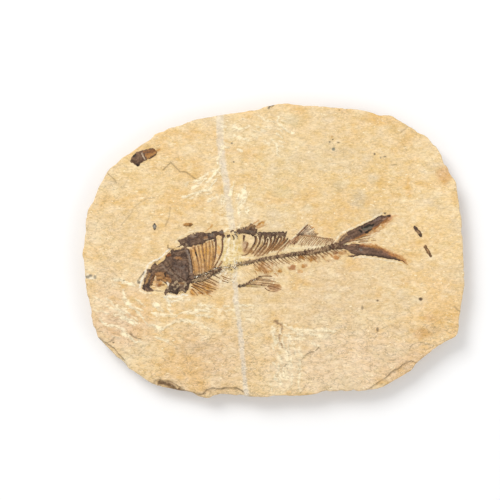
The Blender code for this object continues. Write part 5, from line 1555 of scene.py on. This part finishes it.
back_bones = [
    [(-15, -14.9), (-12.7, -14.5), (-10.8, -13.7), (-9.6, -12.5), (-6.2, -11.1), (-4.2, -10.5),
     (-0.6, -10.6)],
    [(-7.4, -11.7), (0.4, -12.5)], [(-9.4, -12.9), (-1, -13.6)], [(-10.4, -13.5), (-3.4, -14.1)],
    [(-8, -12.1), (1, -12.9)], [(-11.2, -13.9), (-2.8, -14.5)], [(-13, -14.8), (-6, -15.2)],
    [(-6.3, -11.6), (-1, -12.1)], [(-5, -13.4), (0.4, -14.1), (2.5, -14.7)],
    [(-2.6, -14.8), (0, -15.2), (3.4, -16.2)], [(-3.6, -15.6), (-2.6, -16.3), (-1, -16.9), (1, -17)],
    [(-2.2, -14.4), (0.2, -14.7), (2, -15.3)], [(-1.6, -15.7), (1.8, -16.5)],
]
back_tones = [0.8, 0.45, 0.5, 0.45, 0.5, 0.85, 0.35, 0.5, 0.8, 0.85, 0.8, 0.6, 0.55]
back_stoutness = [1.9, 0.7, 0.75, 0.7, 1, 1.1, 0.8, 0.9, 1.1, 1.15, 1.1, 0.9, 0.9]
fin_bone = bone_finish("fin_fossil_bone", 0.5, 0.8)
back_marks = [
    ([(-14, -14.7), (-12.6, -14.7)], 1.4, "463A30", 0.85),
    ([(-0.6, -13.9), (2.5, -14.7)], 0.5, "A8713F", 0.6),
    ([(0.6, -15.3), (3.4, -16.2)], 0.6, "94603C", 0.8), ([(-3, -10.7), (-0.6, -10.6)], 0.6, "9C6A42", 0.7),
]
bone_row(
    "back_fin", ["back_fin", *numbered("back_fin_loose_ray_{}", 3)], back_bones, (0.3, 0.5, 0.7), 13,
    fin_bone, "fin_bone", back_stoutness, back_tones, ("7A5842", "AE845A", "D6B07E"), back_marks,
)

# -------- anal fin
# The anal fin stands above the backbone: a stout first ray, a torn web of finer rays behind it, a beaded base
# line running to the tail, and the slanting supports that held it to the body.

anal_base = [(9.6, 6.9), (13, 6.7), (15, 6.3), (18, 6), (21, 5.4), (25, 5)]
anal_rays = [
    [(7, 2.9), (8.5, 4.4), (10, 6.2), (11, 7.6), (14.4, 11.1)], [(8.6, 2.8), (10.5, 4.9)],
    [(12, 7), (13.8, 8.8), (15.6, 10.4)], [(13.6, 6.8), (16.6, 9.6)], [(15.2, 6.6), (17.2, 8.4)],
    [(12.8, 7.2), (15.2, 9.8)], [(16.4, 6.5), (18.8, 7.4)], [(11.2, 7), (14.9, 10.8)],
    [(14.4, 7), (15.6, 8.2), (16.9, 9.2)], [(8, 2.8), (9.4, 4.3), (10.6, 5.8)], [(13.2, 6.9), (16.2, 10)],
]
support_spacing = 0.82
support_slant = 231


def anal_supports():
    """Close slender supports that slant down to the left from the fin's base, shorter towards the tail."""
    chance = np.random.default_rng(19)
    made = []
    for number in range(-8, 19):
        x = 10.9 + number * support_spacing
        y = np.interp(x, *np.array(anal_base).T) - 0.35 - 0.78 * max(0, 10 - x)
        turn = support_slant + chance.uniform(-4, 4)
        out = turned(((5.8 - 0.16 * abs(number)) * chance.uniform(0.75, 1.05), 0), turn)
        side = np.array([out[1], -out[0]]) * 0.05
        root = np.array([x, y])
        made.append([root, root + out / 2 + side, root + out])
    return made


web_outline = [
    (10, 6.7), (14.5, 11), (15.5, 10.8), (15.9, 10.2), (16.9, 10.2), (17.3, 9.4), (16.8, 8.8), (17.6, 8.2),
    (17.4, 7.7), (18.7, 7.4), (18.4, 6.5), (15, 6.1),
]
web_marks = [
    ([(11.2, 7.2), (12.2, 6.9)], 1, "5F4C3D", 0.8), ([(12.2, 7.6), (14.4, 10)], 0.5, "8D7664", 0.7),
    ([(13.4, 7.6), (15, 9.2)], 0.35, "B79E86", 0.6), ([(14.2, 7.6), (17.2, 9.2)], 0.5, "F0DDB8", 0.9),
    ([(14, 7), (15.4, 7.8)], 0.5, "B9A083", 0.7), ([(16.1, 10.2), (16.6, 9.8)], 0.9, "C08D57", 0.8),
    ([(17.4, 6.9), (18.6, 7.3)], 0.4, "94734C", 0.8), ([(15.4, 6.6), (16.6, 6.9)], 0.5, "A48A68", 0.7),
]


def web_heights(points, edge):
    ridges = [(path, 0.4, 0.1) for path in anal_rays[2:]]
    return raised(points, edge, 0.16, ridges=ridges, roughness=0.05, seed=181)


def web_colours(points, edge):
    colours = bone_tints(points, np.ones(len(points)), "B9946E", "D6B68C", "987458", 183)
    across = (points[:, 1] - points[:, 0]) / math.sqrt(2) + 0.4 * mottle(points, 2, 185)
    rays = np.sin(across / 0.62 * 2 * math.pi)
    colours = laid_over(
        colours, "735643", 0.7 * eased(rays * 1.5 - 0.2), "F2DCB4", 0.75 * eased(-rays * 1.5 - 0.1),
        "C9A476", eased(1 - edge / 0.4),
    )
    return marked(colours, points, web_marks)


supports = anal_supports()
anal_paths = [anal_base] + anal_rays + supports
anal_stoutness = [1.1, 1.6, 1.2, 0.8, 0.8, 0.8, 0.7, 0.9, 0.7, 0.7, 0.8, 0.7] + [0.72, 0.6] * 14
anal_tones = [0.6, 0.95, 0.85, 0.75, 0.7, 0.7, 0.6, 0.6, 0.65, 0.6, 0.6, 0.65] + [0.5, 0.3, 0.4] * 9
base_marks = [
    ([(19.4, 6), (20, 6)], 0.6, "7E5A34", 0.8), ([(20.8, 5.4), (21.2, 5.3)], 0.7, "6A4636", 0.85),
    ([(22, 5.1), (22.3, 5.1)], 0.5, "7A5540", 0.8), ([(23.6, 5.1), (24.2, 5)], 0.5, "96704C", 0.8),
    ([(15.8, 6.2), (16.8, 6.2)], 0.6, "B1956C", 0.7), ([(10.4, 6.9), (12, 6.8)], 0.8, "56443A", 0.8),
]
anal_mesh = tinted_bones(
    "anal_fin_bones", anal_paths, (0.4, 0.7, 0.6), 19, fin_bone, anal_stoutness, anal_tones,
    ("74503E", "B4875E", "DAB48C"), base_marks,
)
web_mesh = relief_mesh("anal_fin_web", web_outline, 0.2, web_heights, web_colours)
set_in_place("anal_fin", joined_meshes("anal_fin", [anal_mesh, web_mesh]), fin_bone, ["anal_fin"])

# -------- tail fin
# The deeply forked tail: two long dark lobes of close rays, fraying to orange at their tips and inner edges,
# with black crusts on the upper lobe and a few loose rays in the fork.

upper_lobe = [
    (24.6, 2.6), (26.8, 3.8), (28.2, 6.3), (32, 8.6), (35, 9.8), (45.6, 15.2), (46.6, 14.7), (48, 15.3),
    (49.2, 15), (49.4, 14.3), (48.2, 13.7), (48.5, 12.9), (45, 11.2), (44.4, 10.3), (43, 9.4), (42, 8.4),
    (40.6, 7.8), (40, 7), (35, 5), (34, 4.4), (32, 4), (30, 3.1), (25, 2.1),
]
lower_lobe = [
    (26.4, 1.9), (28, 2.7), (30.2, 2.6), (34, 3.2), (44, 2.1), (46, 1.3), (54, -2.8), (55.6, -4.4),
    (56.8, -6.1), (54, -4.3), (52, -3.8), (40, -1.9), (37, -1.7), (32.6, -2.6), (31.2, -2.4), (34.4, -1.3),
    (33, -1), (30.6, 0.5), (29.4, 0.9), (27.8, 0.5), (26.4, 0.9),
]
upper_marks = [
    ([(37, 10.3), (37.4, 9.4)], 0.7, "2E2A24", 0.9), ([(38.3, 9.9), (40.6, 10.9)], 0.8, "27261F", 0.95),
    ([(41.3, 10.5), (41.8, 11)], 0.9, "2A2820", 0.95), ([(36.2, 8.7), (37, 7.9)], 0.8, "27251F", 0.95),
    ([(38.8, 7.8), (41.2, 8.9)], 0.8, "25231E", 0.95), ([(37.8, 8.9), (41, 9.8)], 1, "656052", 0.85),
    ([(42.4, 12.6), (44.6, 13.8)], 0.8, "8B7368", 0.7), ([(46, 13.4), (47, 13.6)], 0.6, "B58E70", 0.7),
    ([(40.4, 7.7), (42, 8.6)], 0.9, "B08253", 0.8),
    ([(26.9, 3.9), (28.2, 5.8), (30.4, 7.4)], 0.9, "C9A67A", 0.9),
    ([(28.2, 4.3), (29.4, 5.8), (30.8, 6.8)], 0.4, "B18E64", 0.8),
    ([(27.6, 4.2), (28.8, 5.9), (30.4, 7)], 0.3, "6E5440", 0.8),
    ([(32, 4.3), (34.6, 4.9)], 0.6, "AC7F58", 0.75),
    ([(30.4, 5.2), (31.6, 4.6), (32.2, 5.2)], 0.7, "84705F", 0.7),
    ([(48.2, 15), (48.8, 15)], 0.9, "2F2A24", 0.95), ([(34.4, 9.3), (45.4, 14.9)], 0.35, "4D3C31", 0.75),
]
lower_marks = [
    ([(36.4, 0.7), (37.2, 0.4)], 0.8, "8C7F72", 0.75), ([(36, 1.9), (37.4, 2)], 0.6, "6A4434", 0.7),
    ([(40.4, 2.1), (44.4, 1.4)], 1.2, "A6743F", 0.85), ([(43, 0.6), (46, 0.4)], 0.8, "8E6648", 0.7),
    ([(46.2, -0.2), (49, -0.9)], 0.9, "9C6E4E", 0.8), ([(45.8, -1.2), (49.4, -2)], 0.8, "84604C", 0.7),
    ([(48.8, -1.4), (52.6, -2.6)], 1, "B37B4A", 0.85), ([(52, -2.6), (54.2, -3.6)], 0.9, "C39159", 0.85),
    ([(52.4, -3.6), (54.6, -4.6), (56.6, -6)], 0.5, "7A4E30", 0.85),
    ([(35, -1.5), (38, -1.5), (42, -1.9), (53, -3.9)], 0.4, "463528", 0.8),
    ([(30.8, 0.3), (32, -0.5)], 0.35, "CDAE84", 0.85), ([(31.4, 2.3), (34.2, 2.5)], 0.6, "A27A5C", 0.7),
]
upper_root = (20, 0.2)
lower_root = (22, 2.4)
rays_per_radian = 62


def fan_place(points, root):
    """Each point as its angle round the root of a fan of rays, and its distance from it."""
    dx, dy = points[:, 0] - root[0], points[:, 1] - root[1]
    return np.arctan2(dy, dx), np.hypot(dx, dy)


def lobe_waves(points, root, seed):
    """The close rays of a lobe as waves across the fan, wandering a little, that fork towards the tip."""
    angle, reach = fan_place(points, root)
    wander = (mottle(np.column_stack([reach, angle * 30]), 5, seed) - 0.5) * 0.02
    waves = np.sin((angle + wander) * rays_per_radian * 2 * math.pi)
    forked = np.sin((angle + wander) * rays_per_radian * 4 * math.pi)
    share = eased((reach - 16) / 12)
    return waves * (1 - share) + forked * share


def lobe_piece(name, outline, root, frayed_side, marks, seed):
    """A lobe of close rays, thinner and orange along its frayed side."""
    def frayed(points):
        away, _ = distance_to(points, frayed_side)
        return eased((2.1 - away) / 2)

    def heights(points, edge):
        thin = 1 - 0.75 * frayed(points)
        low = bone_seat + 0.28 * thin * eased(edge / 0.5 + 0.1)
        return low + 0.06 * lobe_waves(points, root, seed) * eased(edge / 0.4) * thin

    def colours(points, edge):
        tints = bone_tints(points, edge, "6C513F", "806453", "5A4437", seed + 2, contrast=0.8)
        angle, reach = fan_place(points, root)
        grain_along = mottle(np.column_stack([reach, angle * 26]), 0.9, seed + 5, 3, stretch=6)
        fray = frayed(points) + (grain_along - 0.5) * 1.1
        tints = laid_over(
            tints, "8C6E5A", 0.7 * above(grain_along, 0.5, 5), "503C30", 0.6 * below(grain_along, 0.46, 5),
            "A9703C", 0.9 * above(fray, 0.25, 2.2),
        )
        return laid_over(marked(tints, points, marks), "DDAE74", 0.9 * above(fray, 0.75, 2.6))

    relief_piece(name, outline, 0.19, heights, colours, fin_bone)


upper_fray = [(35, 4.6), (40, 6.8), (43.4, 9.2), (46.6, 11.6), (49.4, 13.6)]
lower_fray = [(37, 3.2), (41, 2.9), (44.6, 2.3), (48.4, 0.4), (52, -1.5), (55, -3.4), (57, -5.8)]
lobe_piece("tail_upper_lobe", upper_lobe, upper_root, upper_fray, upper_marks, 191)
lobe_piece("tail_lower_lobe", lower_lobe, lower_root, lower_fray, lower_marks, 201)
fork_rays = [
    [(35.6, 3.7), (39.8, 4)], [(34.4, 4.4), (40.4, 5.5)], [(36.4, 4.3), (39.8, 4.7)],
    [(41, 4.3), (43.2, 4.6)], [(34.8, 5.2), (36.4, 5.5), (38.2, 6.1), (40.2, 6.5)],
]
bone_row(
    "tail_fork_rays", ["tail_middle_ray"], fork_rays, (0.28, 0.5, 0.25), 23, fin_bone, "fin_bone",
    [1.1, 1.2, 0.8, 0.8, 1], [0.75, 0.8, 0.5, 0.5, 0.75], ("6A4A32", "A27448", "CFA268"),
)

# -------- loose fragments
# A broken scale at the upper left, two scraps of plant at the right, and two small droppings above the fish.
# They are dark films and dull lumps, stuck in the face where they settled.

scale_outline = [
    (-60.3, 37.8), (-59.6, 39.6), (-58.6, 40.7), (-57.2, 41.6), (-55.7, 42.2), (-53.1, 42.8),
    (-50.6, 43.1), (-49.8, 42.8), (-48.9, 41.6), (-49.4, 40.3), (-51, 39.3), (-55.7, 37), (-56.3, 35.9),
    (-57.1, 35.5), (-57.8, 35.9), (-58.6, 36.8), (-59.9, 37.2),
]
scale_marks = [
    ([(-58.6, 39.8), (-58.2, 40.4)], 0.9, "28201A", 0.95),
    ([(-56.9, 36), (-57.2, 36.2)], 0.8, "2E241D", 0.9),
    ([(-55.2, 40.9), (-54.8, 39.8), (-54, 38.5)], 0.4, "CFB79A", 0.8),
    ([(-57.4, 38.8), (-56, 39.8)], 1, "8A6B52", 0.7),
    ([(-54.4, 41.6), (-52, 42.2), (-50.4, 42.4)], 0.7, "8C5D33", 0.8),
    ([(-53.4, 40.2), (-51.2, 40.8)], 1.2, "A9733C", 0.85),
    ([(-52.8, 39.4), (-50.6, 40.6), (-49.6, 41.6)], 0.9, "C08B50", 0.8),
    ([(-51.6, 41.6), (-49.8, 42.2)], 0.8, "80542F", 0.8),
    ([(-59.6, 38), (-57.8, 37.6)], 0.9, "4E3728", 0.7), ([(-56.2, 38.2), (-55, 37.8)], 0.7, "5A4030", 0.7),
]
upper_scrap = [
    (58.6, 10), (59.2, 10.7), (59.9, 10.3), (61.8, 7.9), (62.6, 6.6), (62.4, 5.9), (61.6, 5.8),
    (60.8, 6.6), (58.9, 9.2),
]
lower_scrap = [
    (63, 2), (63.5, 2.8), (64.1, 2.5), (66.4, -1.4), (66.8, -2.3), (66.3, -2.9), (65.6, -2.4), (64.6, -1),
    (63.7, 0.5),
]
scrap_marks = [
    ([(59.3, 10.2), (60, 9.2)], 0.8, "4B3A30", 0.8), ([(61.4, 7), (62.2, 6.2)], 0.8, "52402F", 0.8),
    ([(60.2, 8.4), (61, 7.6)], 0.5, "A5835E", 0.8), ([(64.5, 0.6), (65.2, -0.6)], 0.35, "B98D60", 0.6),
]


def small_piece(name, outline, step, height_of, tints, marks, finish, seed):
    """A relief in three tints, a plain, a light and a dark one, with its own marks."""
    def colours(points, edge):
        return marked(bone_tints(points, edge, *tints, seed + 1), points, marks)

    relief_piece(name, outline, step, height_of, colours, finish)


def thin_film(name, outline, thickness, tints, marks, seed):
    def heights(points, edge):
        return raised(points, edge, thickness, roughness=0.08, seed=seed)

    small_piece(name, outline, 0.2, heights, tints, marks, plant_film, seed)


def pellet(name, x, y, long, wide, turn, tints, marks, seed):
    """A low rounded lump, flattened by the rock."""
    outline = [tuple(turned((long * px, wide * py), turn) + (x, y)) for px, py in oval]

    def heights(points, edge):
        return bone_seat + 0.55 * eased(edge / wide) + (mottle(points, 0.5, seed, 2) - 0.5) * 0.1

    small_piece(name, outline, 0.17, heights, tints, marks, pellet_finish, seed)


plant_film = bone_finish("dark_film", 0.4, 0.7)
thin_film("scale_fragment", scale_outline, 0.32, ("6F5340", "8F6E50", "4A3529"), scale_marks, 211)
thin_film("plant_fragment_upper", upper_scrap, 0.22, ("6E5442", "8A6E56", "54402F"), scrap_marks, 221)
thin_film("plant_fragment_lower", lower_scrap, 0.22, ("80603F", "9C7650", "664A34"), scrap_marks, 231)
oval = [turned((1, 0), -angle) for angle in range(0, 360, 15)]
pellet_finish = bone_finish("dull_pellet", 0.6, 0.9)
brown_marks = [
    ([(-37.2, 11.2), (-36, 11.4)], 0.6, "C08A4B", 0.7), ([(-35.4, 10.8), (-34, 11.2)], 0.7, "7F5A34", 0.7),
    ([(-34.4, 11.6), (-33.9, 11.6)], 0.4, "C4924F", 0.6),
]
grey_marks = [
    ([(-50.1, 11.4), (-49.7, 11.6)], 0.8, "3C352E", 0.9),
    ([(-49.9, 10.6), (-49.9, 9.8)], 0.7, "A19B8F", 0.8),
    ([(-50.2, 9.2), (-49.7, 9.1)], 0.6, "67594A", 0.7),
]
pellet("brown_pellet", -35.9, 11.1, 2.1, 0.75, 6, ("A97B47", "C2975F", "85603B"), brown_marks, 241)
pellet("grey_pellet", -49.9, 10.3, 1.4, 0.75, 95, ("7B6F60", "8F8678", "5B4F43"), grey_marks, 251)

# -------- floor, light and camera
# The plate lies on a plain pale studio floor. A large soft light stands to the upper left, a weaker one to
# the right, and an even pale surround fills the shadows. The camera looks straight down.


def soft_light(name, place, size, power):
    lamp = bpy.data.lights.new(name, "AREA")
    lamp.shape = "SQUARE"
    lamp.size = size
    lamp.energy = power
    holder = in_scene(name, lamp)
    holder.location = place
    holder.rotation_euler = (-Vector(place)).to_track_quat("-Z", "Y").to_euler()


soft_light("key_light", (-0.45, 0.55, 0.75), 0.45, 6)
soft_light("fill_light", (0.7, -0.3, 0.7), 0.7, 2)
surround = bpy.data.worlds.new("studio_surround")
surround.use_nodes = True
fed(surround.node_tree.nodes["Background"], color=(1, 1, 1, 1), strength=0.65)
bpy.context.scene.world = surround

floor_mesh = bpy.data.meshes.new("studio_floor")
floor_half = 3
floor_drop = 0.0002
corner_signs = [(-1, -1), (1, -1), (1, 1), (-1, 1)]
floor_corners = [(x * floor_half, y * floor_half, -floor_drop) for x, y in corner_signs]
floor_mesh.from_pydata(floor_corners, [], [(0, 1, 2, 3)])
floor_finish = bpy.data.materials.new("white_floor")
floor_finish.use_nodes = True
fed(floor_finish.node_tree.nodes["Principled BSDF"], base_color=(0.93, 0.93, 0.93, 1), roughness=0.9)
floor_mesh.materials.append(floor_finish)
in_scene("studio_floor", floor_mesh)

camera_height = 0.45
view_width = 0.21
view_middle = (-0.00987, 0.00042)
lens = bpy.data.cameras.new("camera")
lens.sensor_width = 36
lens.lens = lens.sensor_width * camera_height / view_width
camera = in_scene("camera", lens)
camera.location = (*view_middle, camera_height + face_height * MM)
bpy.context.scene.camera = camera
bpy.context.scene.view_settings.view_transform = "Standard"
